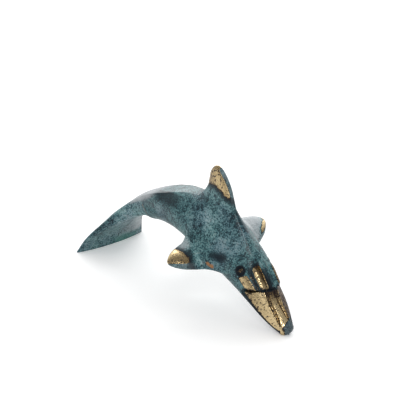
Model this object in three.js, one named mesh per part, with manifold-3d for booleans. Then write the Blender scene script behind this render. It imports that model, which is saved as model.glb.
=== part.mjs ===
// A solid cast bronze dolphin ornament, arched between its flukes and its beak. Millimetres, +Z up.
// The trunk, beak, tail and fins are separate castings on dowels, with a braze gap at each joint.
import * as THREE from 'three';
import { mergeVertices } from 'three/addons/utils/BufferGeometryUtils.js';
import Module from 'manifold-3d';

const wasm = await Module();
wasm.setup();

// Main sizes: from the flukes' trailing edge to the beak's tip, from the table to the top of the spine, and
// the trunk's half width where it is broadest
const LENGTH = 120;
const ARCH = 34.4;
const GIRTH = 12.4;

// Stations of the spine. Along and up are their place as shares of the length and the arch. Width, height
// and cup are shares of the girth: the section's half sizes, and how far its sides bend up. Crest pinches
// the upper half towards a ridge, flat is the angle in degrees on each side of the dorsal line within which
// the back is flattened, blunt below 1 squares the section, facet flattens the sides of the beak, and roll
// turns the section in degrees, with the animal's left side up.
const PLAIN = { crest: 0, flat: 0, blunt: 1, cup: 0, facet: 0, roll: 0 };
const SPINE = [
  { along: 0.002, up: -0.05, width: 1.524, height: 0.081, blunt: 0.6, cup: 0.145, roll: 1 },
  { along: 0.042, up: 0.285, width: 1.161, height: 0.137, flat: 30, blunt: 0.65, roll: 2 },
  { along: 0.175, up: 0.745, width: 0.379, height: 0.452, flat: 69.5, roll: 7 },
  { along: 0.275, up: 0.945, width: 0.532, height: 0.774, flat: 76.4, roll: 3 },
  { along: 0.4, up: 0.997, width: 0.758, height: 0.742, crest: 0.1, flat: 44, roll: 2.5 },
  { along: 0.533, up: 1, width: 1, height: 0.831, crest: 0.25, flat: 13, roll: 4 },
  { along: 0.665, up: 0.843, width: 0.935, height: 0.935, crest: 0.27, roll: 5.5 },
  { along: 0.78, up: 0.625, width: 0.798, height: 0.798, crest: 0.16, roll: 5.5 },
  { along: 0.857, up: 0.424, width: 0.661, height: 0.581, crest: 0.04, facet: 0.2, roll: 10 },
  { along: 0.913, up: 0.259, width: 0.532, height: 0.355, facet: 0.75, roll: 16 },
  { along: 0.953, up: 0.142, width: 0.395, height: 0.266, facet: 0.75, roll: 19 },
  { along: 0.98, up: 0.065, width: 0.266, height: 0.202, roll: 19 },
].map((row) => ({ ...PLAIN, ...row }));
const FLATNESS = 0.85; // share of the rise beyond the flat's edge that is taken off the back
const BEAK_ROUND = 2.3; // length of the beak's rounded end, past the last station

// Fins. Each runs from the spine at x out to its tip, with its chord along the spine. The skirt is the
// oval on the trunk that the fin flares out to: its centre, its reach back and forward, and its spread.
// Free is the share of the span at which the flare begins, and pull how stiffly it leaves the fin.
const DORSAL_FIN = {
  x: LENGTH * 0.66,
  drop: 0,
  sweep: -12,
  side: 0,
  rise: 29.3,
  rootHalfChord: 14.6,
  tipHalfChord: 5.2,
  rootHalfThick: 3.36,
  tipHalfThick: 1.6,
  tipRound: 7.5,
  free: 0.6,
  pull: 0.3,
  skirtX: LENGTH * 0.62,
  skirtAngle: 0,
  skirtBack: 11.5,
  skirtFront: 21.5,
  skirtSpread: 42,
};
const PECTORAL_FIN = {
  x: LENGTH * 0.674,
  drop: 3.7,
  sweep: -4.2,
  side: 25.9,
  rise: -2.2,
  rootHalfChord: 14,
  tipHalfChord: 3.2,
  rootHalfThick: 3.15,
  tipHalfThick: 2.2,
  tipRound: 6,
  free: 0.62,
  pull: 0.6,
  skirtX: LENGTH * 0.66,
  skirtAngle: 106,
  skirtBack: 11.5,
  skirtFront: 13.5,
  skirtSpread: 38,
};
const LEFT_SWEEP = -6; // the left pectoral fin is swept further back than the right one
const SKIRT_SINK = 0.35; // how far a flare's edge starts under the trunk's skin
const SKIRT_LIFT = 0.35; // slope at which it comes up through the skin

// Joints between the castings
const BRAZE_GAP = 0.3;
const TAIL_JOINT_X = LENGTH * 0.26;
const DORSAL_JOINT = 17; // from the spine, along the fin
const PECTORAL_JOINT = 14;
const MOUTH_CORNER_X = LENGTH * 0.842; // the beak is let in under the forehead from here
const CREASE_RISE = 7.5; // slope in degrees of the forehead's underside

// Dowels: diameter, length, and clearance in their blind holes
const TAIL_DOWEL = 3.6;
const TAIL_DOWEL_LENGTH = 12;
const TAIL_DOWEL_DROP = 2; // below the spine, since the back is flat there
const BEAK_DOWEL = 3;
const BEAK_DOWEL_LENGTH = 8;
const BEAK_DOWEL_DROP = 3.6;
const FIN_DOWEL = 2.4;
const FIN_DOWEL_LENGTH = 9;
const DOWEL_CHAMFER = 0.3;
const DOWEL_CLEARANCE = 0.2;
const DOWEL_END_CLEARANCE = 0.3;

// Eyes: domed studs in drilled sockets
const EYE_X = LENGTH * 0.8;
const EYE_ANGLE = 60;
const EYE_DIAMETER = 2.4;
const EYE_DOME = 0.4;
const EYE_SHANK = 1.6;
const EYE_CLEARANCE = 0.25;

// The crease round the beak's base, the line of the mouth, and the flat sides of the beak above it
const CREASE_WIDTH = 1.5;
const CREASE_DEPTH = 0.9;
const MOUTH_ANGLE = 97;
const MOUTH_WIDTH = 0.9;
const MOUTH_DEPTH = 0.6;
const MOUTH_END_X = LENGTH * 0.97;
const FACET_ANGLE = 25;

// Raised brows above the eyes, with a trough on their inner side that goes on as a flute on the beak
const BROW_START_X = LENGTH * 0.81;
const BROW_END_X = LENGTH * 0.87;
const BROW_ANGLE = 22;
const BROW_WIDTH = 2.6;
const BROW_HEIGHT = 0.6;
const TROUGH_START_X = LENGTH * 0.805;
const TROUGH_END_X = LENGTH * 0.885;
const TROUGH_ANGLE = 11;
const TROUGH_WIDTH = 2;
const TROUGH_DEPTH = 0.7;
const FLUTE_START_X = LENGTH * 0.88;
const FLUTE_END_X = LENGTH * 0.968;
const FLUTE_START_ANGLE = 15;
const FLUTE_END_ANGLE = 27;
const FLUTE_WIDTH = 1.8;
const FLUTE_DEPTH = 0.8;

// Facets
const AROUND = 40;
const FIN_AROUND = 32;
const RINGS_PER_STATION = 4;
const TIP_RINGS = 4;
const FLARE_RINGS = 6;
const FREE_RINGS = 8;
const DOWEL_SIDES = 16;
const GROOVE_STEPS = 10;
const GROOVE_TAPER = 0.3; // how fast a groove deepens from its ends
const EYE_RINGS = 5;
const RING_MARGIN = 0.5; // least distance from a cut end to the next ring
const SKIN_STEP = 0.02; // spacing of the points that give a skin normal, in mm and in radians
const HALVINGS = 48; // of the interval in which a value is sought
const WELD = 1e-4; // points closer than this are one
const FAR = 300; // size of the blocks that cut flat faces

const patina = new THREE.MeshStandardMaterial({ color: 0x4a6f72, roughness: 0.55, metalness: 0.5 });
const polished = new THREE.MeshStandardMaterial({ color: 0xc8a468, roughness: 0.28, metalness: 1 });
const dark = new THREE.MeshStandardMaterial({ color: 0x2b2c2a, roughness: 0.45, metalness: 0.7 });
const rod = new THREE.MeshStandardMaterial({ color: 0xa9814f, roughness: 0.4, metalness: 1 });

const Y = new THREE.Vector3(0, 1, 0); // to the animal's left, and the axis of a turned shape
const radians = THREE.MathUtils.degToRad;
const STATION_X = SPINE.map(({ along }) => along * LENGTH);
const FIRST_X = STATION_X[0];
const LAST_X = STATION_X[STATION_X.length - 1];

// Smooth curves through one set of the stations' values
function through(values) {
  const points = SPINE.map((station) => new THREE.Vector3(...values(station)));
  return new THREE.CatmullRomCurve3(points, false, 'catmullrom', 0.5);
}
const spineCurve = through((s) => [s.along * LENGTH, 0, s.up * ARCH]);
const girthCurve = through((s) => [s.width * GIRTH, s.height * GIRTH, s.cup * GIRTH]);
const formCurve = through((s) => [s.flat, s.blunt, s.facet]);
const ridgeCurve = through((s) => [s.crest, s.roll, 0]);

// The value between low and high at which a rising function passes zero
function solve(rising, low, high) {
  for (let i = 0; i < HALVINGS; i++) {
    const middle = (low + high) / 2;
    if (rising(middle) < 0) low = middle;
    else high = middle;
  }
  return (low + high) / 2;
}

// a + b * scale + c * scale + ... for vectors
function along(start, ...steps) {
  const point = start.clone();
  for (const [direction, distance] of steps) point.addScaledVector(direction, distance);
  return point;
}

// Centre, directions and half sizes of the section at x
function station(x) {
  const u = solve((value) => spineCurve.getPoint(value).x - x, 0, 1);
  const forward = spineCurve.getTangent(u);
  const straightUp = new THREE.Vector3(-forward.z, 0, forward.x);
  const ridge = ridgeCurve.getPoint(u);
  const roll = radians(ridge.y);
  const left = along(new THREE.Vector3(), [Y, Math.cos(roll)], [straightUp, Math.sin(roll)]);
  const dorsal = along(new THREE.Vector3(), [straightUp, Math.cos(roll)], [Y, -Math.sin(roll)]);
  const girth = girthCurve.getPoint(u);
  const form = formCurve.getPoint(u);
  const centre = spineCurve.getPoint(u);
  const flat = Math.cos(radians(form.x));
  const sizes = { width: girth.x, height: girth.y, cup: girth.z, crest: ridge.x };
  return { centre, forward, left, dorsal, ...sizes, flat, blunt: form.y, facet: form.z };
}

// Side and rise of a section at an angle from the dorsal line
function outline(section, angle) {
  const upward = Math.cos(angle);
  const side = section.width * Math.sin(angle) * (1 - section.crest * Math.cos(angle / 2) ** 2);
  const bluntRise = Math.sign(upward) * Math.abs(upward) ** section.blunt;
  const rise = section.height * (bluntRise - FLATNESS * Math.max(upward - section.flat, 0));
  return new THREE.Vector2(side, rise + section.cup * Math.sin(angle) ** 2);
}

// Point of a section at an angle, positive to the animal's left. Between the facet's edge and the mouth the
// outline is drawn towards a straight line.
function onSection(section, angle, shrink = 1) {
  const at = outline(section, angle);
  const [edge, mouth] = [radians(FACET_ANGLE), radians(MOUTH_ANGLE)];
  const part = (Math.abs(angle) - edge) / (mouth - edge);
  if (part > 0 && part < 1) {
    const [from, to] = [edge, mouth].map((end) => outline(section, end * Math.sign(angle)));
    at.lerp(from.lerp(to, part), section.facet);
  }
  return along(section.centre, [section.dorsal, at.y * shrink], [section.left, at.x * shrink]);
}

// Skin point at x and angle in degrees, with its outward normal
function skin(x, degrees) {
  const angle = radians(degrees);
  const section = station(x);
  const point = onSection(section, angle);
  const onward = onSection(station(x + SKIN_STEP), angle).sub(point);
  const round = onSection(section, angle + SKIN_STEP).sub(point);
  return { point, normal: onward.cross(round).normalize() };
}

// Closed surface through rings of points that run anticlockwise seen from the end
function loft(rings, endPoint = null) {
  const count = rings[0].length;
  const points = rings.flat();
  const index = [];
  for (let i = 0; i + 1 < rings.length; i++) {
    for (let j = 0; j < count; j++) {
      const [a, b] = [i * count + j, i * count + ((j + 1) % count)];
      index.push(a, b, b + count, a, b + count, a + count);
    }
  }
  const middle = (ring) => ring.reduce((sum, p) => sum.add(p), new THREE.Vector3()).divideScalar(count);
  const last = (rings.length - 1) * count;
  points.push(middle(rings[0]), endPoint ?? middle(rings[rings.length - 1]));
  for (let j = 0; j < count; j++) {
    const next = (j + 1) % count;
    index.push(points.length - 2, next, j, points.length - 1, last + j, last + next);
  }
  const geometry = new THREE.BufferGeometry().setFromPoints(points);
  geometry.setIndex(index);
  return geometry;
}

function solid(geometry) {
  const bare = geometry.clone();
  bare.deleteAttribute('normal');
  bare.deleteAttribute('uv');
  const merged = mergeVertices(bare, WELD);
  const vertProperties = new Float32Array(merged.attributes.position.array);
  const triVerts = new Uint32Array(merged.index.array);
  return new wasm.Manifold(new wasm.Mesh({ numProp: 3, vertProperties, triVerts }));
}

// Geometry turned from +Y to an axis and moved to a point
function placed(geometry, point, axis) {
  const turn = new THREE.Quaternion().setFromUnitVectors(Y, axis);
  return geometry.clone().applyQuaternion(turn).translate(point.x, point.y, point.z);
}

// Block whose flat face stands at a point, filling the side that its axis points to
function block(point, axis) {
  const box = new THREE.BoxGeometry(FAR, FAR, FAR).translate(0, FAR / 2, 0);
  return solid(placed(box, point, axis));
}

function ring(section, shrink = 1) {
  const step = (2 * Math.PI) / AROUND;
  return Array.from({ length: AROUND }, (_, j) => onSection(section, Math.PI - j * step, shrink));
}

// Stretch of the spine's loft from one x to another
function trunk(fromX, toX) {
  const inner = [];
  for (let i = 0; i + 1 < STATION_X.length; i++) {
    const reach = STATION_X[i + 1] - STATION_X[i];
    for (let k = 0; k < RINGS_PER_STATION; k++) inner.push(STATION_X[i] + (reach * k) / RINGS_PER_STATION);
  }
  const kept = inner.filter((x) => x > fromX + RING_MARGIN && x < toX - RING_MARGIN);
  return [fromX, ...kept, toX].map((x) => ring(station(x)));
}

// Rounded end of the beak: sections that shrink like a quarter ellipse
function beakEnd() {
  const end = station(LAST_X);
  const rings = [];
  for (let i = 1; i < TIP_RINGS; i++) {
    const turn = (i / TIP_RINGS) * (Math.PI / 2);
    const centre = along(end.centre, [end.forward, BEAK_ROUND * Math.sin(turn)]);
    rings.push(ring({ ...end, centre }, Math.cos(turn)));
  }
  return { rings, tip: along(end.centre, [end.forward, BEAK_ROUND]) };
}

// Cubic curve between two points with given end slopes
function hermite(p0, slope0, p1, slope1, q) {
  const [q2, q3] = [q * q, q * q * q];
  const start = p0.clone().multiplyScalar(2 * q3 - 3 * q2 + 1);
  return along(start, [slope0, q3 - 2 * q2 + q], [p1, 3 * q2 - 2 * q3], [slope1, q3 - q2]);
}

// A fin with its flare: rings from the skirt under the trunk's skin to the tip. Side is 1 for the left
// fin, -1 for the right one, and of no account on the dorsal fin.
function fin(sizes, side = 1) {
  const at = station(sizes.x);
  const root = along(at.centre, [at.dorsal, -sizes.drop]);
  const reach = [[at.forward, sizes.sweep], [at.left, sizes.side * side], [at.dorsal, sizes.rise]];
  const tip = along(root, ...reach);
  const span = root.distanceTo(tip);
  const axis = tip.clone().sub(root).normalize();
  const thick = axis.clone().cross(at.forward).normalize();
  const freePoint = (s, turn) => {
    const toTip = Math.min(((1 - s) * span) / sizes.tipRound, 1);
    const round = Math.sqrt(1 - (1 - toTip) ** 2);
    const chord = THREE.MathUtils.lerp(sizes.rootHalfChord, sizes.tipHalfChord, s) * round;
    const depth = THREE.MathUtils.lerp(sizes.rootHalfThick, sizes.tipHalfThick, s) * round;
    const steps = [[axis, s * span], [at.forward, chord * Math.cos(turn)], [thick, depth * Math.sin(turn)]];
    return along(root, ...steps);
  };
  const turns = Array.from({ length: FIN_AROUND }, (_, j) => (j / FIN_AROUND) * 2 * Math.PI);
  const flares = turns.map((turn) => {
    const length = Math.cos(turn) > 0 ? sizes.skirtFront : sizes.skirtBack;
    const degrees = sizes.skirtAngle * side + sizes.skirtSpread * Math.sin(turn);
    const edge = skin(sizes.skirtX + length * Math.cos(turn), degrees);
    const start = along(edge.point, [edge.normal, -SKIRT_SINK]);
    const end = freePoint(sizes.free, turn);
    const toEnd = end.clone().sub(start);
    const flat = along(toEnd, [edge.normal, -toEnd.dot(edge.normal)]);
    const slope = along(flat, [edge.normal, flat.length() * SKIRT_LIFT]);
    const leave = axis.clone().multiplyScalar(toEnd.length() * sizes.pull);
    return (q) => hermite(start, slope, end, leave, q);
  });
  const rings = [];
  for (let i = 0; i < FLARE_RINGS; i++) rings.push(flares.map((flare) => flare(i / FLARE_RINGS)));
  for (let i = 0; i < FREE_RINGS; i++) {
    const s = sizes.free + (1 - sizes.free) * Math.sin((i / FREE_RINGS) * (Math.PI / 2));
    rings.push(turns.map((turn) => freePoint(s, turn)));
  }
  return { root, axis, casting: solid(loft(rings, tip)) };
}

// A ridge or groove along skin points: a tapering rhombic bar that stands out of the skin and sinks into it
function bar(path, width, out, sink) {
  const rings = path.map(({ point, normal }, i) => {
    const before = path[Math.max(i - 1, 0)].point;
    const after = path[Math.min(i + 1, path.length - 1)].point;
    const across = after.clone().sub(before).cross(normal).normalize();
    const taper = Math.sin((Math.PI * (i + 0.5)) / path.length) ** GROOVE_TAPER;
    const corners = [[normal, out], [across, width / 2], [normal, -sink * taper], [across, -width / 2]];
    return corners.map(([direction, size]) => along(point, [direction, size]));
  });
  return solid(loft(rings));
}

// Skin points from one x to another, with the angle going evenly from one value to another
function skinPath(fromX, toX, fromAngle, toAngle = fromAngle) {
  return Array.from({ length: GROOVE_STEPS + 1 }, (_, i) => {
    const part = i / GROOVE_STEPS;
    return skin(THREE.MathUtils.lerp(fromX, toX, part), THREE.MathUtils.lerp(fromAngle, toAngle, part));
  });
}

function dowel(diameter, length, grow = 0, endGrow = 0) {
  const radius = diameter / 2 + grow;
  const half = length / 2 + endGrow;
  const profile = [[0, -half], [radius - DOWEL_CHAMFER, -half], [radius, DOWEL_CHAMFER - half]];
  profile.push([radius, half - DOWEL_CHAMFER], [radius - DOWEL_CHAMFER, half], [0, half]);
  return new THREE.LatheGeometry(profile.map(([r, h]) => new THREE.Vector2(r, h)), DOWEL_SIDES);
}

// A dowel across a joint and the blind hole that takes it
function dowelled(diameter, length, point, axis) {
  const hole = dowel(diameter, length, DOWEL_CLEARANCE, DOWEL_END_CLEARANCE);
  return { pin: placed(dowel(diameter, length), point, axis), hole: solid(placed(hole, point, axis)) };
}

// Domed stud for an eye, with its dome above the skin at height 0
function eyeStud() {
  const radius = EYE_DIAMETER / 2;
  const dome = new THREE.EllipseCurve(0, 0, radius, EYE_DOME, 0, Math.PI / 2).getPoints(EYE_RINGS);
  const profile = [new THREE.Vector2(0, -EYE_SHANK), new THREE.Vector2(radius, -EYE_SHANK), ...dome];
  profile[profile.length - 1].x = 0;
  return new THREE.LatheGeometry(profile, DOWEL_SIDES);
}

function eyeSocket() {
  const radius = EYE_DIAMETER / 2 + EYE_CLEARANCE;
  const depth = EYE_SHANK + EYE_CLEARANCE;
  const drill = new THREE.CylinderGeometry(radius, radius, depth + EYE_DOME, DOWEL_SIDES);
  return drill.translate(0, (EYE_DOME - depth) / 2, 0);
}

// Outline of the joint between forehead and beak, in the plane of x and z: back along the forehead's
// underside to the corner of the mouth, then square to the spine down to the throat
const corner = station(MOUTH_CORNER_X);
const creaseSlope = new THREE.Vector3(Math.cos(radians(CREASE_RISE)), 0, Math.sin(radians(CREASE_RISE)));
const creaseDown = new THREE.Vector3(creaseSlope.z, 0, -creaseSlope.x);
const throatDown = new THREE.Vector3(corner.forward.z, 0, -corner.forward.x);
const miter = along(creaseDown, [corner.forward, 1]).divideScalar(1 + creaseDown.dot(corner.forward));

function snoutRegion(clear) {
  const start = along(corner.centre, [miter, clear]);
  const outline = [along(start, [creaseSlope, FAR]), start, along(start, [throatDown, FAR])];
  const shape = new THREE.Shape(outline.map((p) => new THREE.Vector2(p.x, p.z)));
  const prism = new THREE.ExtrudeGeometry(shape, { depth: FAR, bevelEnabled: false });
  return solid(prism.translate(0, 0, -FAR / 2).rotateX(Math.PI / 2));
}

// The crease follows the forehead's underside round the head from one corner of the mouth to the other
function creasePath() {
  const above = (x, degrees) => skin(x, degrees).point.sub(corner.centre).dot(creaseDown);
  return Array.from({ length: 2 * GROOVE_STEPS + 1 }, (_, i) => {
    const degrees = MOUTH_ANGLE * (i / GROOVE_STEPS - 1);
    return skin(solve((x) => above(x, degrees), EYE_X, FLUTE_END_X), degrees);
  });
}

const table = block(new THREE.Vector3(0, 0, 0), new THREE.Vector3(0, 0, -1));
const crease = bar(creasePath(), CREASE_WIDTH, CREASE_DEPTH, CREASE_DEPTH);

// Tail
const tailJoint = station(TAIL_JOINT_X);
const tailPoint = along(tailJoint.centre, [tailJoint.dorsal, -TAIL_DOWEL_DROP]);
const tailPin = dowelled(TAIL_DOWEL, TAIL_DOWEL_LENGTH, tailPoint, tailJoint.forward);
const gapAlongX = (BRAZE_GAP / 2) * tailJoint.forward.x;
const tail = solid(loft(trunk(FIRST_X, TAIL_JOINT_X - gapAlongX))).subtract(table).subtract(tailPin.hole);

// Beak
const beakPoint = along(corner.centre, [corner.dorsal, -BEAK_DOWEL_DROP]);
const beakPin = dowelled(BEAK_DOWEL, BEAK_DOWEL_LENGTH, beakPoint, corner.forward);
const snout = beakEnd();
const whole = solid(loft([...trunk(TAIL_JOINT_X + gapAlongX, LAST_X), ...snout.rings], snout.tip));
let beak = whole.intersect(snoutRegion(BRAZE_GAP / 2)).subtract(table);
for (const side of [-1, 1]) {
  const mouth = skinPath(MOUTH_CORNER_X, MOUTH_END_X, MOUTH_ANGLE * side);
  const flute = skinPath(FLUTE_START_X, FLUTE_END_X, FLUTE_START_ANGLE * side, FLUTE_END_ANGLE * side);
  beak = beak.subtract(bar(mouth, MOUTH_WIDTH, MOUTH_DEPTH, MOUTH_DEPTH));
  beak = beak.subtract(bar(flute, FLUTE_WIDTH, FLUTE_DEPTH, FLUTE_DEPTH));
}
beak = beak.subtract(beakPin.hole).subtract(crease);

// Fins, each parted from its stump on the trunk
function parted(sizes, side, joint) {
  const { root, axis, casting } = fin(sizes, side);
  const point = along(root, [axis, joint]);
  const pin = dowelled(FIN_DOWEL, FIN_DOWEL_LENGTH, point, axis);
  const outer = block(along(point, [axis, -BRAZE_GAP / 2]), axis);
  const inner = block(along(point, [axis, BRAZE_GAP / 2]), axis.clone().negate());
  return { stump: casting.subtract(outer), blade: casting.subtract(inner).subtract(pin.hole), pin };
}
const dorsal = parted(DORSAL_FIN, 1, DORSAL_JOINT);
const right = parted(PECTORAL_FIN, -1, PECTORAL_JOINT);
const left = parted({ ...PECTORAL_FIN, sweep: LEFT_SWEEP }, 1, PECTORAL_JOINT);

// Trunk and head
const eyes = { right: skin(EYE_X, -EYE_ANGLE), left: skin(EYE_X, EYE_ANGLE) };
let body = whole.subtract(snoutRegion(-BRAZE_GAP / 2));
for (const limb of [dorsal, right, left]) body = body.add(limb.stump);
for (const side of [-1, 1]) {
  const brow = skinPath(BROW_START_X, BROW_END_X, BROW_ANGLE * side);
  const trough = skinPath(TROUGH_START_X, TROUGH_END_X, TROUGH_ANGLE * side);
  body = body.add(bar(brow, BROW_WIDTH, BROW_HEIGHT, BROW_HEIGHT));
  body = body.subtract(bar(trough, TROUGH_WIDTH, TROUGH_DEPTH, TROUGH_DEPTH));
}
for (const { hole } of [dorsal.pin, right.pin, left.pin, tailPin, beakPin]) body = body.subtract(hole);
for (const { point, normal } of Object.values(eyes)) {
  body = body.subtract(solid(placed(eyeSocket(), point, normal)));
}
body = body.subtract(crease);

function meshOf(shape) {
  if (shape instanceof THREE.BufferGeometry) return shape;
  const { vertProperties, triVerts } = shape.getMesh();
  const geometry = new THREE.BufferGeometry();
  geometry.setAttribute('position', new THREE.BufferAttribute(vertProperties, 3));
  geometry.setIndex(new THREE.BufferAttribute(triVerts, 1));
  geometry.computeVertexNormals();
  return geometry;
}

const dolphin = new THREE.Group();
function piece(name, shape, material) {
  const mesh = new THREE.Mesh(meshOf(shape), material);
  mesh.name = name;
  dolphin.add(mesh);
}
piece('body', body, patina);
piece('beak', beak, polished);
piece('dorsal_fin', dorsal.blade, patina);
piece('right_pectoral_fin', right.blade, patina);
piece('left_pectoral_fin', left.blade, patina);
piece('tail_flukes', tail, patina);
piece('right_eye', placed(eyeStud(), eyes.right.point, eyes.right.normal), dark);
piece('left_eye', placed(eyeStud(), eyes.left.point, eyes.left.normal), dark);
piece('dorsal_fin_dowel', dorsal.pin.pin, rod);
piece('right_pectoral_dowel', right.pin.pin, rod);
piece('left_pectoral_dowel', left.pin.pin, rod);
piece('tail_dowel', tailPin.pin, rod);
piece('beak_dowel', beakPin.pin, rod);

// The origin is under the middle of the bounding box, on the table
const extent = new THREE.Box3().setFromObject(dolphin);
const middle = extent.getCenter(new THREE.Vector3());
dolphin.position.set(-middle.x, -middle.y, -extent.min.z);

export default dolphin;
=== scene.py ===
"""Looks of a cast bronze dolphin ornament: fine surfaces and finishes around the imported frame.

Sizes are millimetres on the spine's own axes: x runs forward from the flukes, y to the animal's left
and z up from the table. Meshes are in metres, in the row frame.
"""
import logging
import math
from dataclasses import dataclass
from enum import Enum
from functools import cached_property
from typing import Any, Callable, NamedTuple

import bpy
import numpy as np
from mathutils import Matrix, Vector


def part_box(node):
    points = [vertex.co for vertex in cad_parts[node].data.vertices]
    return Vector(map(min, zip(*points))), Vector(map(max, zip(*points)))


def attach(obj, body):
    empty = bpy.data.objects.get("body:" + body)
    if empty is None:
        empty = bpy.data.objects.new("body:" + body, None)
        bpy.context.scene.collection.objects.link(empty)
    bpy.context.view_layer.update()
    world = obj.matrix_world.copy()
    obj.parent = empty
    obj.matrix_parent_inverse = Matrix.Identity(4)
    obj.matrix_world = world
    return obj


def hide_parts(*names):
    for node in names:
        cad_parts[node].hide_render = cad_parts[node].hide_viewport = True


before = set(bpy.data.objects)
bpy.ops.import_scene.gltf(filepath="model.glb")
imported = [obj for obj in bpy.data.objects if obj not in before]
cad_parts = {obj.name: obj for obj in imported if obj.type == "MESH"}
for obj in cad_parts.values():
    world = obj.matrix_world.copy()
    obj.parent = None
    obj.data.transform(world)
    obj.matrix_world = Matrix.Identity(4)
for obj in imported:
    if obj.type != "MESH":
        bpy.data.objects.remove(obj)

Array = np.ndarray
Colour = tuple[float, float, float]
Span = tuple[float, float]
Knots = tuple[tuple[float, float], ...]
MM = 0.001
NOISE_MIDDLE = 0.5
TURN = 2 * math.pi
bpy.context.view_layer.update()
BODY = "root"
RIGHT, LEFT = -1, 1
log = logging.getLogger("dolphin")


def unit(vectors: Array) -> Array:
    """Vectors divided by their lengths."""
    return vectors / np.linalg.norm(vectors, axis=-1, keepdims=True)


def dot(a: Array, b: Array) -> Array:
    """Dot products of two arrays of vectors."""
    return (a * b).sum(-1)


def ease(low: float, high: float, value: Array) -> Array:
    """Rise from 0 at low to 1 at high, along the cubic 3s^2 - 2s^3."""
    share = np.clip((value - low) / (high - low), 0, 1)
    return share * share * (3 - 2 * share)


def bell(distance: Array, reach: Array | float) -> Array:
    """Bump of height 1 that falls to 0 at reach, as (1 - d^2)^2 of the share d of the reach."""
    return np.clip(1 - (distance / reach) ** 2, 0, None) ** 2


def bent(x: Array, knots: Knots) -> Array:
    """Straight pieces through knots given as (x, value)."""
    places, values = zip(*knots)
    return np.interp(x, places, values)


def to_segment(points: Array, start: Array, end: Array) -> Array:
    """Distances of points to the straight line between two places.

    Args:
        points: places in millimetres.
        start: one end of the line.
        end: its other end.

    Returns:
        The distances.
    """
    way = end - start
    share = np.clip((points - start) @ way / (way @ way), 0, 1)
    return np.linalg.norm(points - start - share[:, None] * way, axis=-1)


def around_angles(count: int) -> Array:
    """Angles from the dorsal line, evenly round a section."""
    return np.arange(count) * TURN / count


def solve(rising: Callable[[Array], Array], low: Array, high: Array, halvings: int = 40) -> Array:
    """Values at which a rising function passes zero, found by halving intervals.

    Args:
        rising: function of an array that rises with each value.
        low: lower ends of the intervals.
        high: upper ends of the intervals.
        halvings: how often each interval is halved.

    Returns:
        The middle of each last interval.
    """
    for _ in range(halvings):
        middle = (low + high) / 2
        below = rising(middle) < 0
        low, high = np.where(below, middle, low), np.where(below, high, middle)
    return (low + high) / 2


class Station(NamedTuple):
    """A section of the spine: place, half sizes, ridge and roll, in millimetres and degrees."""

    x: float
    z: float
    width: float
    height: float
    crest: float
    flat: float
    blunt: float
    cup: float
    roll: float


class Section(NamedTuple):
    """Sections at many places: centres, directions and sizes as arrays."""

    centre: Array
    forward: Array
    left: Array
    dorsal: Array
    width: Array
    height: Array
    crest: Array
    flat: Array
    blunt: Array
    cup: Array


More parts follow.
